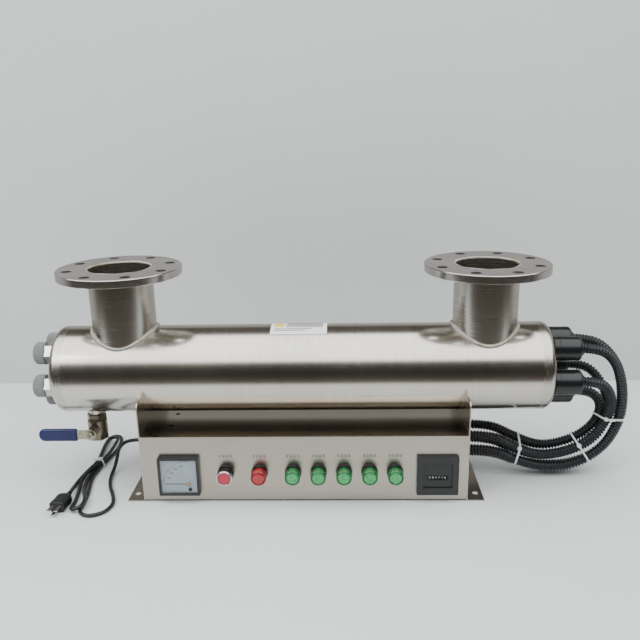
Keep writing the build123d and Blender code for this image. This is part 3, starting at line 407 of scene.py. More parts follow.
def roomSheet(name, corners, material, mirrored=False):
    mesh = bpy.data.meshes.new(name)
    mesh.from_pydata(corners, [], [(0, 1, 2, 3)])
    sheet = bpy.data.objects.new(name, mesh)
    scene.collection.objects.link(sheet)
    sheet.data.materials.append(material)
    sheet.visible_glossy = mirrored


wide, back, top = roomLook["halfWidth"], roomLook["wallPlace"], roomLook["wallTop"]
near, half = roomLook["nearEdge"], roomLook["nearHalf"]
floorFoam = foamSheet("white foam board, floor", roomLook["floor"])
# The steel mirrors only the board near it; past that its reflection is the dim workshop.
roomSheet("floor", [(-half, near, 0), (half, near, 0), (half, back, 0), (-half, back, 0)], floorFoam, True)
far, sunk = roomLook["floorHalf"], roomLook["floorSunk"]
roomSheet("floorBeyond", [(-wide, -far, sunk), (wide, -far, sunk), (wide, far, sunk), (-wide, far, sunk)], floorFoam)
wallFoam = foamSheet("white foam board, wall", roomLook["wall"])
wallTree = wallFoam.node_tree
# the board shows its front only, so the object can be looked at from behind
side = addNode(wallTree, "NewGeometry").outputs["Backfacing"]
clear = addNode(wallTree, "BsdfTransparent")
front = wallTree.nodes["Principled BSDF"]
oneSided = addNode(wallTree, "MixShader", None, {0: side, 1: front.outputs[0], 2: clear.outputs[0]})
wallTree.links.new(oneSided.outputs[0], wallTree.nodes["Material Output"].inputs["Surface"])
rightBack = back - roomLook["wallLean"]
roomSheet("wall", [(-wide, back, 0), (wide, rightBack, 0), (wide, rightBack, top), (-wide, back, top)], wallFoam)


def areaLight(name, place, aim, size, watts, tint="#FFFFFF"):
    data = bpy.data.lights.new(name, "AREA")
    data.shape = "RECTANGLE"
    data.size, data.size_y = size
    data.energy = watts
    data.color = colour(tint)[:3]
    light = bpy.data.objects.new(name, data)
    light.location = place
    light.rotation_euler = (Vector(aim) - Vector(place)).to_track_quat("-Z", "Y").to_euler()
    scene.collection.objects.link(light)


areaLight("ceilingPanel", roomLook["ceilingPlace"], (0, -0.7799, 0), roomLook["ceilingSize"],
          roomLook["ceilingWatts"], "#F9FBFF")
areaLight("windowFill", roomLook["fillPlace"], (0, 0, 0.2), (0.8, 0.8), roomLook["fillWatts"], "#F4F8FF")

# The room beyond: a dim workshop in front at eye level, paler overhead and along the floor.
world = bpy.data.worlds.new("workshop")
scene.world = world
world.use_nodes = True
tree = world.node_tree
tree.nodes.clear()
way = addNode(tree, "TexCoord").outputs["Generated"]
split = addNode(tree, "SeparateXYZ", None, {0: way}).outputs
shade = addNode(tree, "MapRange", {"From Min": -1.0, "From Max": 1.0}, {"Value": split[2]}).outputs[0]
frontRamp = addNode(tree, "ValToRGB", {"stops": [
    (0.0, "#746D63"), (0.33, "#6D665C"), (0.43, "#453F39"), (0.55, "#332F2B"), (0.74, "#47433D"),
    (0.80, "#D9D7D1"), (1.0, "#F4F3F0")]}, {"Fac": shade}).outputs[0]
backRamp = addNode(tree, "ValToRGB", {"stops": [
    (0.0, "#8B8985"), (0.40, "#D6D6D4"), (0.68, "#D2D1CE"), (0.755, "#66625B"), (0.93, "#5F5B54"),
    (0.985, "#E6E4DE")]}, {"Fac": shade}).outputs[0]
behind = addNode(tree, "MapRange", {"From Min": -0.25, "From Max": 0.25}, {"Value": split[1]}).outputs[0]
sky = addNode(tree, "Mix", {"data_type": "RGBA"}, {0: behind, 6: frontRamp, 7: backRamp}).outputs[2]
glow = addNode(tree, "Background", {"Strength": 0.85}, {"Color": sky})
addNode(tree, "OutputWorld", None, {"Surface": glow.outputs[0]})


print("materials")


def brushedSteel(name, fine, shades, roughness, bump=0.12, turnAxis=None, anisotropy=0.0, wideScale=(7, 7, 7)):
    # long scratches from an abrasive belt: fine is the noise scale along each axis; 620 a metre makes lines about
    # 1.6 mm apart, coarser than the real 0.1 mm grit marks, so that they show
    material, tree, shader, place = startMaterial(name, Metallic=1.0, Anisotropic=anisotropy)
    lines = addNode(tree, "TexNoise", {"Scale": 1.0, "Detail": 5, "Roughness": 0.7},
                    {"Vector": stretched(tree, place, fine)}).outputs[0]
    clouds = addNode(tree, "TexNoise", {"Scale": 1.0, "Detail": 4},
                     {"Vector": stretched(tree, place, wideScale)}).outputs[0]
    both = addNode(tree, "Mix", {"data_type": "FLOAT", 0: 0.4}, {2: lines, 3: clouds}).outputs[0]
    tintAndRoughen(tree, shader, both, shades, roughness, bump, 0.00006)
    if turnAxis:
        way = addNode(tree, "Tangent", {"direction_type": "RADIAL", "axis": turnAxis}).outputs[0]
        tree.links.new(way, shader.inputs["Tangent"])
    return material


def latheTurned(name, centreX, shades, roughness, pitch=0.0016):
    # tool marks run in rings about the bore; drawn at 1.6 mm, coarser than the real 0.2 mm, so that they show
    material, tree, shader, place = startMaterial(name, Metallic=1.0, Anisotropic=0.6, Anisotropic_Rotation=0.25)
    moved = stretched(tree, place, (1, 1, 0), (-centreX, 0, 0))
    rings = addNode(tree, "TexWave", {"wave_type": "RINGS", "rings_direction": "Z", "Scale": 0.314 / pitch,
                                                "Distortion": 0.4, "Detail": 2}, {"Vector": moved}).outputs["Fac"]
    clouds = addNode(tree, "TexNoise", {"Scale": 26, "Detail": 5}, {"Vector": place}).outputs[0]
    both = addNode(tree, "Mix", {"data_type": "FLOAT", 0: 0.65}, {2: rings, 3: clouds}).outputs[0]
    tintAndRoughen(tree, shader, both, shades, roughness, 0.15, 0.00005)
    way = addNode(tree, "Tangent", {"direction_type": "RADIAL", "axis": "Z"}).outputs[0]
    tree.links.new(way, shader.inputs["Tangent"])
    return material


def weldMetal(name):
    # ripples come from the mesh; straw, brown and blue heat tint lies in patches beside the silvery bead
    material, tree, shader, place = startMaterial(name, Metallic=1.0)
    patches = addNode(tree, "TexNoise", {"Scale": 38, "Detail": 6, "Roughness": 0.7}, {"Vector": place}).outputs[0]
    tint = addNode(tree, "ValToRGB", {"stops": [(0.3, "#A3A09B"), (0.5, "#C4C1BB"), (0.62, "#AFA289"),
                                                          (0.7, "#8A7B6E"), (0.8, "#7E828B")]}, {"Fac": patches})
    tree.links.new(tint.outputs[0], shader.inputs["Base Color"])
    grain = addNode(tree, "TexNoise", {"Scale": 900, "Detail": 4}, {"Vector": place}).outputs[0]
    level = addNode(tree, "MapRange", {"To Min": 0.22, "To Max": 0.5}, {"Value": grain})
    tree.links.new(level.outputs[0], shader.inputs["Roughness"])
    relief = addNode(tree, "Bump", {"Strength": 0.25, "Distance": 0.0003}, {"Height": grain})
    tree.links.new(relief.outputs[0], shader.inputs["Normal"])
    return material


def platedMetal(name, shades, roughness, grain=300, bump=0.08):
    # electroplate over cast or pressed metal: soft mottling and a slightly uneven sheen
    material, tree, shader, place = startMaterial(name, Metallic=1.0)
    mottle = addNode(tree, "TexNoise", {"Scale": grain, "Detail": 6, "Roughness": 0.65}, {"Vector": place}).outputs[0]
    tintAndRoughen(tree, shader, mottle, shades, roughness, bump, 0.0001)
    return material


chamberSteel = brushedSteel("stainless 304 pipe, belt polished round", (620, 9, 9), ("#B9B3A8", "#D6D2C9"),
                            (0.13, 0.25),
                            0.10, "X", 0.45, (5, 5, 5))
neckSteel = brushedSteel("stainless 304 pipe, belt polished round the neck", (9, 9, 620), ("#B4AFA5", "#D2CEC6"),
                         (0.19, 0.33), 0.10, "Z", 0.4, (9, 9, 9))
capSteel = brushedSteel("stainless 304 spun end, belt polished", (300, 60, 60), ("#AFAAA1", "#CFCBC2"), (0.2, 0.34),
                        0.10)
sheetSteel = brushedSteel("stainless 304 sheet, cold rolled with a light brush", (5, 40, 700), ("#A59D90", "#BDB6AA"),
                          (0.24, 0.36), 0.05, None, 0.0, (4, 4, 6))
topSteel = brushedSteel("stainless 304 sheet, cold rolled, box top", (4, 500, 40), ("#A39B8F", "#BAB3A8"),
                        (0.16, 0.28), 0.04)
sideSteel = brushedSteel("stainless 304 sheet, cold rolled, side plates", (60, 5, 500), ("#A39C90", "#BDB6AB"),
                         (0.24, 0.38), 0.05)
inletFace = latheTurned("stainless flange, lathe turned, inlet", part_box("inlet_flange")[0].x + 0.110,
                        ("#ABA8A4", "#CFCCC8"),
                        (0.15, 0.26))
outletFace = latheTurned("stainless flange, lathe turned, outlet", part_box("outlet_flange")[0].x + 0.110,
                         ("#ABA8A4", "#CFCCC8"), (0.15, 0.26))
weldSteel = weldMetal("stainless weld bead with heat tint")
nutSteel = platedMetal("stainless hex bar, machined bright", ("#A8A7A4", "#D5D4D1"), (0.12, 0.3), 420)
valveMetal = platedMetal("nickel plated cast brass", ("#4F4A3F", "#9C9484"), (0.2, 0.42), 520, 0.25)
leverSteel = platedMetal("zinc plated pressed steel", ("#8D8878", "#B7B09C"), (0.25, 0.42), 260)
ballChrome = platedMetal("chrome plated brass ball", ("#CFD0D0", "#E6E6E6"), (0.05, 0.12), 60)
screwSteel = platedMetal("stainless pan head screw", ("#A3A19C", "#CBC9C4"), (0.18, 0.34), 700)
ringChrome = platedMetal("chrome plated switch ring", ("#C9CACA", "#E9E9E9"), (0.06, 0.14), 90)
caseAluminium = platedMetal("anodised aluminium ballast case", ("#AFB0B0", "#C6C7C7"), (0.3, 0.45), 180)
hubPaint = mouldedPlastic("tan moulded pointer hub", "#A58A63", (0.3, 0.45), 900)
inkBlack = mouldedPlastic("screen printed black ink", "#1B1C1D", (0.4, 0.6), 900, 0.03)
inkWhite = mouldedPlastic("screen printed white ink", "#DADBD8", (0.4, 0.6), 900, 0.03)
inkRed = mouldedPlastic("screen printed red ink", "#A82A26", (0.4, 0.6), 900, 0.03)

greyCap = mouldedPlastic("moulded grey polypropylene, matt", "#6E706E", (0.45, 0.62), 1400, 0.2)
blackCap = mouldedPlastic("moulded black ABS cap, satin", "#101112", (0.2, 0.34), 1600, 0.05)
bezelPlastic = mouldedPlastic("moulded black ABS bezel", "#1A1C1B", (0.28, 0.42), 1800, 0.08)
vinylGrip = mouldedPlastic("blue vinyl, hot dipped", "#0F1743", (0.28, 0.44), 420, 0.18)
buttonPlastic = mouldedPlastic("moulded dark red polycarbonate", "#9E2A3F", (0.18, 0.3), 1200, 0.04)
socketPlastic = mouldedPlastic("moulded black bakelite", "#19191A", (0.35, 0.5), 900)
terminalPlastic = mouldedPlastic("moulded cream melamine", "#CFCBBB", (0.4, 0.55), 700)
ceramicBase = mouldedPlastic("glazed white ceramic lamp base", "#D8D6CF", (0.2, 0.35), 260)
ptfe = mouldedPlastic("machined PTFE", "#E4E4E0", (0.4, 0.5), 500)
sealRubber = mouldedPlastic("moulded nitrile rubber", "#161616", (0.45, 0.6), 900)
dialCard = mouldedPlastic("pale blue printed dial card", "#AEBCCB", (0.5, 0.65), 1400, 0.05)
labelFilm = mouldedPlastic("printed polyester label film", "#D9D9D4", (0.25, 0.4), 900, 0.03)
labelBand = mouldedPlastic("printed label band, yellow ink", "#D3B13A", (0.3, 0.4), 900, 0.03)
drumPlastic = mouldedPlastic("moulded black acetal drum", "#1C1D1D", (0.4, 0.55), 900)


def clearGlass(name, shade, roughness, weight=0.95):
    # a faint haze and uneven sheen, as real panes have
    material, tree, shader, place = startMaterial(name, IOR=1.49, Transmission_Weight=weight)
    haze = addNode(tree, "TexNoise", {"Scale": 60, "Detail": 4}, {"Vector": place}).outputs[0]
    tintAndRoughen(tree, shader, haze, (shade, shade), roughness)
    return material


windowGlass = clearGlass("clear acrylic window", "#F7FAFB", (0.0, 0.05))
quartzGlass = clearGlass("clear fused quartz", "#FAFCFF", (0.0, 0.04))
lampGlass = clearGlass("frosted lamp glass", "#EEF2F6", (0.2, 0.35), 0.6)


def lensPlastic(name, dark, light, depth=0.35):
    # pebbled back and a clear front: the colour deepens towards the rim
    material, tree, shader, place = startMaterial(name, IOR=1.58, Transmission_Weight=depth, Coat_Weight=0.35,
                                                  Coat_Roughness=0.08)
    cells = addNode(tree, "TexVoronoi", {"Scale": 420, "feature": "SMOOTH_F1"}, {"Vector": place}).outputs[0]
    tintAndRoughen(tree, shader, cells, (light, dark), (0.14, 0.26), 0.10, 0.0002)
    return material


greenLens = lensPlastic("green polycarbonate lens, frosted inside", "#1E8F43", "#3FBE6A", 0.18)
greenRing = lensPlastic("green polycarbonate rim, deep", "#0F4A22", "#1C7A3A", 0.15)
redLensPlastic = lensPlastic("red polycarbonate lens, frosted inside", "#8E0F15", "#D0242B", 0.25)
redRing = lensPlastic("red polycarbonate rim, deep", "#5E0A0E", "#A3141B", 0.12)

# material, width of the softened edge, and the CAD pieces that keep their own shape
finishes = [
    (chamberSteel, 0, "chamber_shell"), (capSteel, 0, "end_plate_left end_plate_right"),
    (neckSteel, 0, "inlet_neck outlet_neck sleeve_ports drain_nipple"),
    (inletFace, 0.0006, "inlet_flange"), (outletFace, 0.0006, "outlet_flange"),
    (sealRubber, 0, "sleeve_orings"), (nutSteel, 0.0008, "gland_nuts"), (quartzGlass, 0, "quartz_sleeves"),
    (lampGlass, 0, "lamp_tubes"), (ceramicBase, 0.0004, "lamp_bases"), (socketPlastic, 0.0005, "lamp_sockets"),
    (valveMetal, 0.0009, "valve_body valve_end"), (valveMetal, 0.0004, "valve_stem"),
    (valveMetal, 0.0005, "packing_nut"), (ptfe, 0, "valve_seats"), (ballChrome, 0, "valve_ball"),
    (leverSteel, 0.0005, "lever_nut"), (leverSteel, 0.0006, "valve_lever"), (vinylGrip, 0, "lever_grip"),
    (sideSteel, 0.0004, "side_plate_left side_plate_right"), (sheetSteel, 0.0004, "front_panel rear_panel"),
    (topSteel, 0.0004, "box_top"), (sheetSteel, 0, "base_plate"),
    (bezelPlastic, 0.0008, "voltmeter_case hour_meter_case"), (dialCard, 0, "voltmeter_dial"),
    (inkBlack, 0, "voltmeter_pointer"), (windowGlass, 0, "voltmeter_window"),
    (drumPlastic, 0.0002, "counter_drums fast_drum"), (blackCap, 0.0008, "switch_body indicator_bodies conduit_caps"),
    (caseAluminium, 0.001, "ballasts"), (terminalPlastic, 0.0006, "terminal_block"),
    (screwSteel, 0.0003, "panel_screws"),
]
for material, edge, names in finishes:
    for name in names.split():
        paint(nodes[name], material)
        if edge:
            softenEdges(nodes[name], edge)

print("weld beads")
weldLook = {"radius": 0.0029, "ripplePitch": 0.0042, "rippleHeight": 0.0011, "wander": 0.0006}
shellLow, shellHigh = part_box("chamber_shell")
axisZ = (shellLow.z + shellHigh.z) / 2
shellRadius = (shellHigh.z - shellLow.z) / 2


def rippledRing(line, radius, seed):
    # a bead laid in overlapping scallops, its width wandering a little as the hand does
    def radiusAt(run):
        scallop = abs(math.sin(math.pi * run / weldLook["ripplePitch"]))
        drift = math.sin(run * 61 + seed) + 0.6 * math.sin(run * 143 + seed * 2.3)
        return radius + weldLook["rippleHeight"] * (scallop - 0.5) + weldLook["wander"] * drift * 0.5
    return tube(line, radiusAt, 10)


beads = []
for side, neckNode in enumerate(("inlet_neck", "outlet_neck")):
    neckLow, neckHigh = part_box(neckNode)
    centreX, neckR = (neckLow.x + neckHigh.x) / 2, (neckHigh.x - neckLow.x) / 2
    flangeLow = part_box(("inlet_flange", "outlet_flange")[side])[0].z
    count = 520
    saddle, under, seal = [], [], []
    for i in range(count + 1):
        turn = 2 * math.pi * i / count
        reach = neckR + 0.0012
        x, y = reach * math.cos(turn), reach * math.sin(turn)
        saddle.append((centreX + x, y, axisZ + math.sqrt(shellRadius ** 2 - y ** 2) + 0.0008))
        under.append((centreX + x, y, flangeLow - 0.0015))
        inside = neckR - 0.0005
        seal.append((centreX + inside * math.cos(turn), inside * math.sin(turn), neckHigh.z + 0.0012))
    beads.append(rippledRing(saddle, weldLook["radius"], side * 3.1))
    beads.append(rippledRing(under, weldLook["radius"] * 0.8, 1.7 + side))
    beads.append(rippledRing(seal, 0.0019, 4.2 + side))
addMesh("weldBeads", *joinParts(beads), weldSteel, hides=("weld_beads",), slot="weld_bead")

print("lamp caps")
capLook = {"ribs": 36, "ribDepth": 0.06, "around": 288, "radius": 0.0205, "lampCircle": 0.050}
lampSpots = []
capLow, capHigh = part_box("sleeve_caps")
lampCircle = capLook["lampCircle"]
for k in range(5):
    turn = math.radians(54 - 72 * k)
    lampSpots.append((-lampCircle * math.cos(turn), axisZ + lampCircle * math.sin(turn)))


def gripRibs(turn, k):
    # rounded axial grip ribs on the outer rows of the profile only
    if k in (0, 1, 5, 6, 7):
        return 1
    return 1 - capLook["ribDepth"] * (0.5 - 0.5 * math.cos(capLook["ribs"] * turn)) ** 2


capRadius = capLook["radius"]
capLength = capHigh.x - capLow.x
caps = []
for y, z in lampSpots:
    profile = [(0, capRadius - 0.0006), (0.0012, capRadius), (0.0020, capRadius), (capLength * 0.5, capRadius),
               (capLength - 0.0040, capRadius - 0.0002), (capLength - 0.0024, capRadius - 0.0012),
               (capLength - 0.0008, capRadius - 0.0030), (capLength, capRadius - 0.0052), (capLength, 0.0070),
               (capLength - 0.0010, 0.0060), (capLength - 0.0010, 0.0002)]
    caps.append(turned(profile, (capHigh.x, y, z), (-1, 0, 0), capLook["around"], gripRibs))
addMesh("ribbedSleeveCaps", *joinParts(caps), greyCap, hides=("sleeve_caps",), slot="grey_plastic")

# a moulded collar and a split line round each black cap, and a short lip that the conduit goes into
rightLow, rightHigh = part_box("conduit_caps")
collars = []
for y, z in lampSpots:
    for along, r in ((0.0100, 0.02225), (0.0425, 0.02195)):
        collars.append(turned([(-0.0006, r), (-0.0003, r + 0.00045), (0.0003, r + 0.00045), (0.0006, r),
                               (0, r - 0.001)],
                              (rightLow.x + along, y, z), (1, 0, 0), 64, None, True))
    collars.append(turned([(0, 0.0095), (0, 0.0122), (0.0015, 0.0126), (0.0050, 0.0122), (0.0056, 0.0112),
                           (0.0056, 0.0095)],
                          (rightHigh.x - 0.0006, y, z), (1, 0, 0), 48, None, True))
addMesh("capCollars", *joinParts(collars), blackCap, slot="black_plastic")

print("conduit connectors and ties")
connectorLook = {"flats": 0.0235, "proud": 0.016}
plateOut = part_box("conduit_connectors")[1].x - connectorLook["proud"]


def hexNut(turn, k):
    # hexagon on the outer rows of the profile, round inside it
    return 1 / math.cos((turn + math.pi / 6) % (math.pi / 3) - math.pi / 6) if k in (1, 2) else 1


fittings = []
half = connectorLook["flats"] / 2
for route in conduitRoutes.values():
    y, z = route[-1][1:]
    fittings.append(turned([(0, half - 0.0006), (0.0006, half - 0.0004), (0.0076, half - 0.0004),
                            (0.0083, half - 0.0010),
                            (0.0083, 0.0105), (0.0150, 0.0103), (0.0162, 0.0098), (0.0162, 0.0082), (0, 0.0082)],
                           (plateOut, y, z), (1, 0, 0), 60, hexNut, True))
    fittings.append(turned([(-0.008, 0.0072), (-0.008, 0.0087), (0, 0.0087), (0, 0.0072)],
                           (plateOut, y, z), (1, 0, 0), 40, None, True))
addMesh("conduitConnectors", *joinParts(fittings), conduitPlastic, hides=("conduit_connectors",),
        slot="black_plastic")

tieLook = {"band": 0.0034, "thick": 0.0012, "head": (0.0075, 0.0062, 0.0050), "tail": 0.012}
conduitLines = [smoothLine(name + "_tie", route, 0.002)[0] for name, route in conduitRoutes.items()]
tiePlanes = [((0.566, 0, 0.1202), (-0.12, 0, -0.99), 0.055), ((0.5175, 0, 0.050), (-0.84, 0, -0.54), 0.05),
             ((0.3936, 0, 0.048), (-0.97, 0, 0.22), 0.05)]


def hullOf(spots):
    # outer turn of a set of flat points
    spots = sorted(set(spots))
    chains = []
    for run in (spots, spots[::-1]):
        chain = []
        for p in run:
            while len(chain) > 1 and ((chain[-1][0] - chain[-2][0]) * (p[1] - chain[-2][1])
                                      - (chain[-1][1] - chain[-2][1]) * (p[0] - chain[-2][0])) <= 0:
                chain.pop()
            chain.append(p)
        chains.append(chain[:-1])
    return chains[0] + chains[1]


def bandRound(circles, radius, origin, acrossX, acrossY, band, thick):
    along = acrossX.cross(acrossY)
    inner = hullOf([(round(u + (radius + 0.0001) * math.cos(t * math.pi / 12), 6),
                     round(v + (radius + 0.0001) * math.sin(t * math.pi / 12), 6)) for u,
                     v in circles for t in range(24)])
    outer = []
    for i, p in enumerate(inner):
        before, after = inner[i - 1], inner[(i + 1) % len(inner)]
        lean = Vector((after[1] - before[1], before[0] - after[0])).normalized()
        outer.append((p[0] + lean.x * thick, p[1] + lean.y * thick))
    points, faces, n = [], [], len(inner)
    for height in (-band / 2, band / 2):
        for outline in (inner, outer):
            points += [origin + acrossX * u + acrossY * v + along * height for u, v in outline]
    for i in range(n):
        j = (i + 1) % n
        faces += [(i, j, n + j, n + i), (2 * n + i, 3 * n + i, 3 * n + j, 2 * n + j),
                  (n + i, n + j, 3 * n + j, 3 * n + i), (i, 2 * n + i, 2 * n + j, j)]
    return (points, faces), outer


ties = []
for origin, along, reach in tiePlanes:
    origin, along = Vector(origin), Vector(along).normalized()
    acrossX = Vector((0, 1, 0))
    acrossY = along.cross(acrossX).normalized()
    circles = []
    for line in conduitLines:
        near = min((p for p in line if (p - origin).length < reach), key=lambda p: abs((p - origin).dot(along)))
        circles.append(((near - origin).dot(acrossX), (near - origin).dot(acrossY)))
    bandParts, outer = bandRound(circles, conduitLook["diameter"] / 2, origin, acrossX, acrossY,
                                 tieLook["band"], tieLook["thick"])
    ties.append(bandParts)
    spot = min(outer, key=lambda p: p[0] - 0.4 * abs(p[1]))
    w, h, d = tieLook["head"]
    headAt = origin + acrossX * (spot[0] + 0.0005) + acrossY * spot[1]
    ties.append(slab(roundedBox(w, h, 0.0012), headAt, along, acrossY, -d, 0))
    ties.append(slab(roundedBox(0.0036, tieLook["tail"], 0.001), headAt - acrossX * 0.0025 + acrossY * 0.0085,
                     along, acrossY, -0.0012, 0))
addMesh("conduitTies", *joinParts(ties), tieNylon, hides=("conduit_ties",), smooth=False, slot="tie_nylon")

print("hank tie, plug, gland")
tieSpot = Vector((-0.4133, 0.031, 0.0))
hankCircles = [((p - tieSpot).dot(Vector((1, 0, 0))), p.z) for p in
               (min((q for q in mainsLine if abs(q.y - 0.031) < 0.004 and abs(q.x + c) < 0.0045 and abs(q.z - h) < 0.0045),
                    key=lambda q: abs(q.y - 0.031), default=Vector((-c, 0.031, h)))
                for c, h in ((0.4098, 0.0051), (0.4168, 0.0051), (0.4102, 0.0120), (0.4172, 0.0120)))]
hankBand, hankOuter = bandRound(hankCircles, cordLook["diameter"] / 2, tieSpot, Vector((1, 0, 0)), zUp,
                                cordLook["tieBand"], cordLook["tieThick"])
headTop = max(hankOuter, key=lambda p: p[1])
headSpot = tieSpot + Vector((headTop[0], 0, headTop[1] - 0.0006))
hankHead = slab(roundedBox(0.0075, 0.0060, 0.0012), headSpot, (1, 0, 0), (0, 1, 0), 0.0045, 0.0004)
hankTail = slab(roundedBox(0.014, 0.0036, 0.001), headSpot + Vector((-0.009, 0, 0.0012)), (1, 0, 0), (0, 1, 0),
                0.0012)
addMesh("hankTie", *joinParts([hankBand, hankHead, hankTail]), tieNylon, hides=("hank_tie",), smooth=False,
        slot="tie_nylon")

plugLook = {"start": (-0.4302, -0.0848, 0.0102), "way": (-0.1, -1, 0), "side": (1, -0.1, 0), "face": 0.0528,
            "pin": (0.0063, 0.0015, 0.0178), "pinSpots": ((-0.007, 0.003), (0.007, 0.003), (0, -0.005))}
plugStart = Vector(plugLook["start"])
plugWay, plugSide = (Vector(plugLook[k]).normalized() for k in ("way", "side"))
# distance along the plug, width, height and corner round: ribbed strain relief first, then the body
sections = [(0, 0.0076, 0.0076, 0.0037), (0.0035, 0.0086, 0.0082, 0.0040), (0.0045, 0.0074, 0.0074, 0.0036),
            (0.0075, 0.0096, 0.0088, 0.0042), (0.0085, 0.0080, 0.0078, 0.0038), (0.0115, 0.0112, 0.0098, 0.0046),
            (0.0125, 0.0098, 0.0088, 0.0042), (0.0148, 0.0150, 0.0120, 0.0056), (0.0165, 0.0220, 0.0160, 0.0070),
            (0.0200, 0.0262, 0.0190, 0.0070), (0.0260, 0.0280, 0.0200, 0.0070), (0.0300, 0.0272, 0.0196, 0.0070),
            (0.0315, 0.0266, 0.0190, 0.0070), (0.0330, 0.0272, 0.0196, 0.0070), (0.0360, 0.0272, 0.0196, 0.0070),
            (0.0375, 0.0266, 0.0190, 0.0070), (0.0390, 0.0274, 0.0196, 0.0070), (0.0480, 0.0280, 0.0200, 0.0066),
            (0.0515, 0.0276, 0.0196, 0.0066), (plugLook["face"], 0.0262, 0.0184, 0.0062)]
plugPoints, plugFaces = [], []
for along, width, height, corner in sections:
    plugPoints += [plugStart + plugWay * along + plugSide * u + zUp * v for u, v in roundedBox(width, height, corner)]
perRing = len(roundedBox(1, 1, 0.1))
for k in range(len(sections) - 1):
    for i in range(perRing):
        j = (i + 1) % perRing
        plugFaces.append((k * perRing + i, k * perRing + j, (k + 1) * perRing + j, (k + 1) * perRing + i))
plugFaces += [tuple(reversed(range(perRing))), tuple(range((len(sections) - 1) * perRing, len(sections) * perRing))]
plugBody = addMesh("plugBody", plugPoints, plugFaces, plugRubber, hides=("mains_plug",), slot="black_rubber")
pins = []
w, t, reach = plugLook["pin"]
for u, v in plugLook["pinSpots"]:
    pins.append(slab(roundedBox(w, t, 0.0006, 3), plugStart + plugWay * plugLook["face"] + plugSide * u + zUp * v,
                     plugSide, zUp, reach, 0.0005))
plugPins = addMesh("plugPins", *joinParts(pins), ballChrome, smooth=False)

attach(mainsCord, "frame")
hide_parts("mains_lead", "mains_hank")

glandAt = (-0.290, 0.008, 0.070)
glandProfile = [(0, 0.0112), (0.0025, 0.0114), (0.0025, 0.0100), (0.0085, 0.0100), (0.0090, 0.0094), (0.0180, 0.0090),
                (0.0195, 0.0078), (0.0230, 0.0066), (0.0240, 0.0058), (0.0265, 0.0062), (0.0275, 0.0052),
                (0.0300, 0.0054), (0.0320, 0.0043), (0.0320, 0.0036), (0.0, 0.0036)]


def domeNut(turn, k):
    # hexagon at the plate, fluted dome nut outside it
    if k in (2, 3):
        return 1 / math.cos((turn + math.pi / 6) % (math.pi / 3) - math.pi / 6)
    return 1 - 0.05 * (0.5 + 0.5 * math.cos(12 * turn)) if k in (5, 6) else 1


glandNut = turned(glandProfile, glandAt, (-1, 0, 0), 72, domeNut, True)
glandThread = turned([(-0.008, 0.0036), (-0.008, 0.0059), (0, 0.0059), (0, 0.0036)], glandAt, (-1, 0, 0), 40, None,
                     True)
addMesh("cordGland", *joinParts([glandNut, glandThread]), glandPlastic, hides=("cord_gland",), slot="black_plastic")

print("voltmeter")
dialLook = {"ticks": 30, "arc": 0.0445, "minor": 0.0022, "major": 0.0042,
            "numbers": ("0", "100", "200", "300", "400", "500"),
            "numberSize": 0.0052, "hub": 0.0052, "zeroScrew": 0.0032,
            "pivot": (-0.2065, 0.038)}
pivot = Vector((dialLook["pivot"][0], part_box("voltmeter_dial")[0].y, dialLook["pivot"][1]))


def bar(origin, acrossX, acrossZ, width, height, depth):
    return slab([(-width / 2, -height / 2), (width / 2, -height / 2), (width / 2, height / 2),
                 (-width / 2, height / 2)],
                origin, acrossX, acrossZ, depth)


def writing(name, words, place, size, material, body, turn=(math.pi / 2, 0, 0)):
    data = bpy.data.curves.new(name, "FONT")
    data.body = words
    data.size = size
    data.align_x = "CENTER"
    data.align_y = "CENTER"
    data.extrude = 0.00004
    piece = bpy.data.objects.new(name, data)
    piece.location = place
    piece.rotation_euler = turn
    scene.collection.objects.link(piece)
    piece.data.materials.append(material)
    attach(piece, body)
    return piece


ticks = []
for k in range(dialLook["ticks"] + 1):
    turn = math.radians(90 * k / dialLook["ticks"])
    major = k % 6 == 0
    reach = dialLook["major"] if major else dialLook["minor"]
    outward = Vector((-math.cos(turn), 0, math.sin(turn)))
    across = Vector((math.sin(turn), 0, math.cos(turn)))
    middle = pivot + outward * (dialLook["arc"] - reach / 2) + Vector((0, -0.00002, 0))
    ticks.append(bar(middle, outward, across, reach, 0.0005 if major else 0.0003, 0.00005))
    if major and 0 < k < dialLook["ticks"]:
        words = dialLook["numbers"][k // 6]
        spot = pivot + outward * (dialLook["arc"] - 0.0085) + Vector((0, -0.0001, 0))
        writing("dialNumber" + words, words, spot, dialLook["numberSize"], inkBlack, "frame")
arcPoints = []
for k in range(60):
    a, b = (math.radians(90 * i / 60) for i in (k, k + 1))
    middle = pivot + Vector((-math.cos((a + b) / 2), 0, math.sin((a + b) / 2))) * dialLook["arc"] + Vector((0,
                                                                                                            -0.00002,
                                                                                                            0))
    along = Vector((math.sin((a + b) / 2), 0, math.cos((a + b) / 2)))
    outward = Vector((-along.z, 0, along.x))
    ticks.append(bar(middle, outward, along, 0.0004, 0.00125, 0.00005))
addMesh("dialScale", *joinParts(ticks), inkBlack, smooth=False)
hubDisc = turned([(0, dialLook["hub"]), (0.0009, dialLook["hub"]), (0.0014, dialLook["hub"] - 0.0006),
                  (0.0014, 0.0001)],
                 pivot + Vector((0, -0.0016, 0)), toFront, 40)
addMesh("pointerHub", *hubDisc, hubPaint, body="meter_pointer")
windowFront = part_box("voltmeter_window")[0].y
screwAt = Vector((pivot.x + 0.004, windowFront + 0.0002, pivot.z - 0.0085))
zeroScrew = turned([(0, dialLook["zeroScrew"]), (0.0012, dialLook["zeroScrew"]),
                    (0.0017, dialLook["zeroScrew"] - 0.0005),
                    (0.0017, 0.0001)], screwAt, toFront, 32)
screwSlot = bar(screwAt + Vector((0, -0.00175, 0)), Vector((0.8, 0, 0.6)), Vector((-0.6, 0, 0.8)), 0.005, 0.0009,
                0.0002)
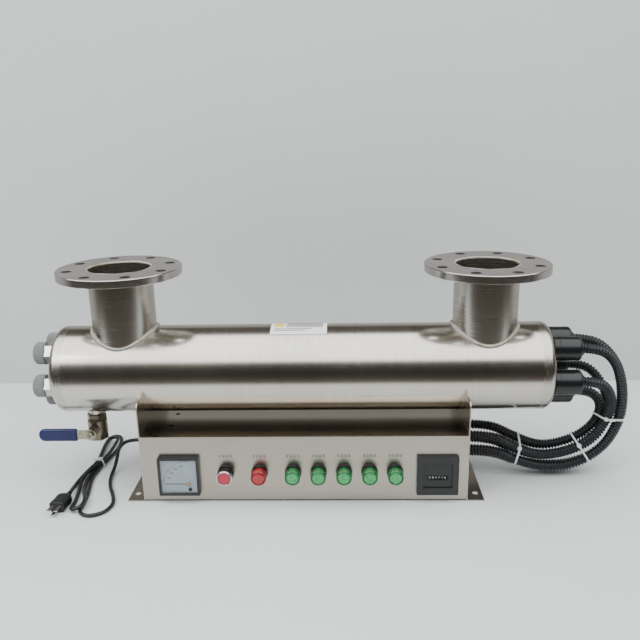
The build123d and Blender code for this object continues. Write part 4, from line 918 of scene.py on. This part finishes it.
addMesh("zeroScrew", *zeroScrew, bezelPlastic)
addMesh("zeroScrewSlot", *screwSlot, inkBlack, smooth=False)

print("hour counter")
counterLook = {"digits": "004716", "size": 0.0052, "perDrum": 10, "drumPitch": 0.0054, "centre": (0.2355, 0.0525)}
drumLow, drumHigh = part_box("fast_drum")
drumAxis = (drumLow + drumHigh) / 2
drumR = (drumHigh.z - drumLow.z) / 2
for place, digit in enumerate(counterLook["digits"]):
    last = place == len(counterLook["digits"]) - 1
    for k in range(counterLook["perDrum"] if last else 1):
        lean = 2 * math.pi * k / counterLook["perDrum"]
        outward = Vector((0, -math.cos(lean), math.sin(lean)))
        spot = drumAxis + Vector((counterLook["drumPitch"] * (place - 5), 0, 0)) + outward * (drumR + 0.00006)
        words = str((int(digit) + k) % 10)
        writing(f"digit{place}_{k}", words, spot, counterLook["size"], inkWhite, "tenths_drum" if last else "frame",
                (math.pi / 2 - lean, 0, 0))
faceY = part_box("hour_meter_case")[0].y + 0.003
counterX, counterZ = counterLook["centre"]
lip = []
for w, h, thick in ((0.0505, 0.0455, 0.0008), (0.0385, 0.0105, 0.0006)):
    z = counterZ if w > 0.04 else counterZ - 0.0045
    for sx, sz in ((0, 1), (0, -1), (1, 0), (-1, 0)):
        size = (w, thick) if sz else (thick, h)
        lip.append(bar((counterX + sx * (w - thick) / 2, faceY, z + sz * (h - thick) / 2), (1, 0, 0), (0, 0, 1),
                       *size, 0.0006))
addMesh("counterRims", *joinParts(lip), bezelPlastic, smooth=False)

print("switch and indicator lamps")
headLook = {"rim": 0.0137, "lens": 0.0112, "rimFront": 0.025, "ring": 0.0139, "panel": -0.100,
            "height": 0.058, "red": -0.0785, "switch": -0.1385, "greens": [-0.019 + 0.045 * i for i in range(5)]}
headZ, panelY, redX, switchX = (headLook[k] for k in ("height", "panel", "red", "switch"))


def lampHead(x):
    # a rim with a rolled edge and finger flutes, and a separate domed face with moulded rings
    front, base = headLook["rimFront"], 0.008
    rim = turned([(base, headLook["rim"] - 0.0004), (base + 0.001, headLook["rim"]),
                  (front - 0.0012, headLook["rim"]),
                  (front, headLook["rim"] - 0.0009), (front, headLook["lens"] + 0.0004),
                  (front - 0.0012, headLook["lens"]),
                  (base, headLook["lens"])], (x, panelY, headZ), toFront, 96,
                 lambda turn, k: 1 - (0.018 * (0.5 + 0.5 * math.cos(24 * turn)) if k in (1, 2) else 0), True)
    face = [(front - 0.0012, headLook["lens"] - 0.0001)]
    for k in range(12):
        r = headLook["lens"] * (1 - (k + 1) / 12.5)
        face.append((front - 0.0006 + 0.0016 * (1 - (r / headLook["lens"]) ** 2) + (0.00018 if k % 2 else 0), r))
    dome = turned(face, (x, panelY, headZ), toFront, 64)
    skirt = turned([(base + 0.0002, headLook["lens"] - 0.0002), (front - 0.0012, headLook["lens"] - 0.0001)],
                   (x, panelY, headZ), toFront, 64)
    return rim, dome, skirt


greens = [lampHead(x) for x in headLook["greens"]]
addMesh("greenRims", *joinParts([g[0] for g in greens]), greenRing, hides=("green_lenses",), slot="lens_green")
addMesh("greenFaces", *joinParts([g[1] for g in greens] + [g[2] for g in greens]), greenLens, slot="lens_green")
red = lampHead(redX)
addMesh("redRim", *red[0], redRing, hides=("red_lens",), slot="lens_red")
addMesh("redFace", *joinParts(red[1:]), redLensPlastic, slot="lens_red")
chrome = turned([(0.0188, 0.0133), (0.0195, headLook["ring"]), (0.0238, headLook["ring"]), (0.0252, 0.0133),
                 (0.0254, 0.0124),
                 (0.0246, 0.0112), (0.0190, 0.01085)], (switchX, panelY, headZ), toFront, 72, None, True)
addMesh("switchRing", *chrome, ringChrome)
dish = [(0.0, 0.0105), (0.0126, 0.0105), (0.0136, 0.0102), (0.0141, 0.0094), (0.0138, 0.0086), (0.0134, 0.006),
        (0.0132, 0.003),
        (0.0131, 0.0002)]
cap = turned(dish, (switchX, -0.112, headZ), toFront, 64)
stem = turned([(0.0, 0.004), (0.0, 0.004), (-0.0445, 0.004)], (switchX, -0.112, headZ), toFront, 32)
addMesh("switchCap", *joinParts([cap, stem]), buttonPlastic, body="power_button", hides=("switch_button",),
        slot="button_red")
nuts = []
for x in [switchX, redX] + headLook["greens"]:
    nuts.append(turned([(0, 0.0146), (0.0012, 0.0148), (0.0020, 0.0148), (0.0028, 0.0144)], (x, -0.1001, headZ),
                       toFront, 64))
addMesh("headGaskets", *joinParts(nuts), sealRubber)

print("plain marks and label")
markLook = {"height": 0.0052, "stroke": 0.0008, "each": 4, "pitch": 0.0064, "z": 0.0895}
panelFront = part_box("front_panel")[0].y
marks = []
for x in [switchX, redX] + headLook["greens"]:
    for k in range(markLook["each"]):
        left = x + (k - 1.5) * markLook["pitch"]
        for level in (-1, 0, 1):
            marks.append(bar((left, panelFront, markLook["z"] + level * 0.0019), (1, 0, 0), (0, 0, 1),
                             0.0046 - 0.0008 * ((k + level) % 2), markLook["stroke"], 0.00008))
addMesh("panelMarks", *joinParts(marks), inkBlack, smooth=False)

labelLook = {"left": -0.058, "right": 0.043, "behind": -17, "ahead": 24, "thick": 0.00025}


def onChamber(left, right, lowTurn, highTurn, lift, steps=14):
    points, faces = [], []
    for k in range(steps + 1):
        turn = math.radians(lowTurn + (highTurn - lowTurn) * k / steps)
        r = shellRadius + lift
        for x in (left, right):
            points.append((x, -r * math.sin(turn), axisZ + r * math.cos(turn)))
    for k in range(steps):
        faces.append((2 * k, 2 * k + 1, 2 * k + 3, 2 * k + 2))
    return points, faces


label = onChamber(labelLook["left"], labelLook["right"], labelLook["behind"], labelLook["ahead"], labelLook["thick"])
addMesh("plainLabel", *label, labelFilm)
lines = [onChamber(-0.030, 0.036, t, t + 1.6, 0.0004, 2) for t in (-12, -8.5, -5, -1.5, 2, 5.5)]
lines.append(onChamber(-0.052, 0.016, 11, 12.4, 0.0004, 2))
lines.append(onChamber(-0.052, 0.006, 15, 16.4, 0.0004, 2))
addMesh("labelLines", *joinParts(lines), inkBlack, smooth=False)
addMesh("labelBand", *onChamber(-0.053, -0.035, -11, 6, 0.0004, 6), labelBand, smooth=False)
addMesh("labelTop", *onChamber(-0.030, 0.036, -15.5, -13.6, 0.0004, 2), inkRed, smooth=False)
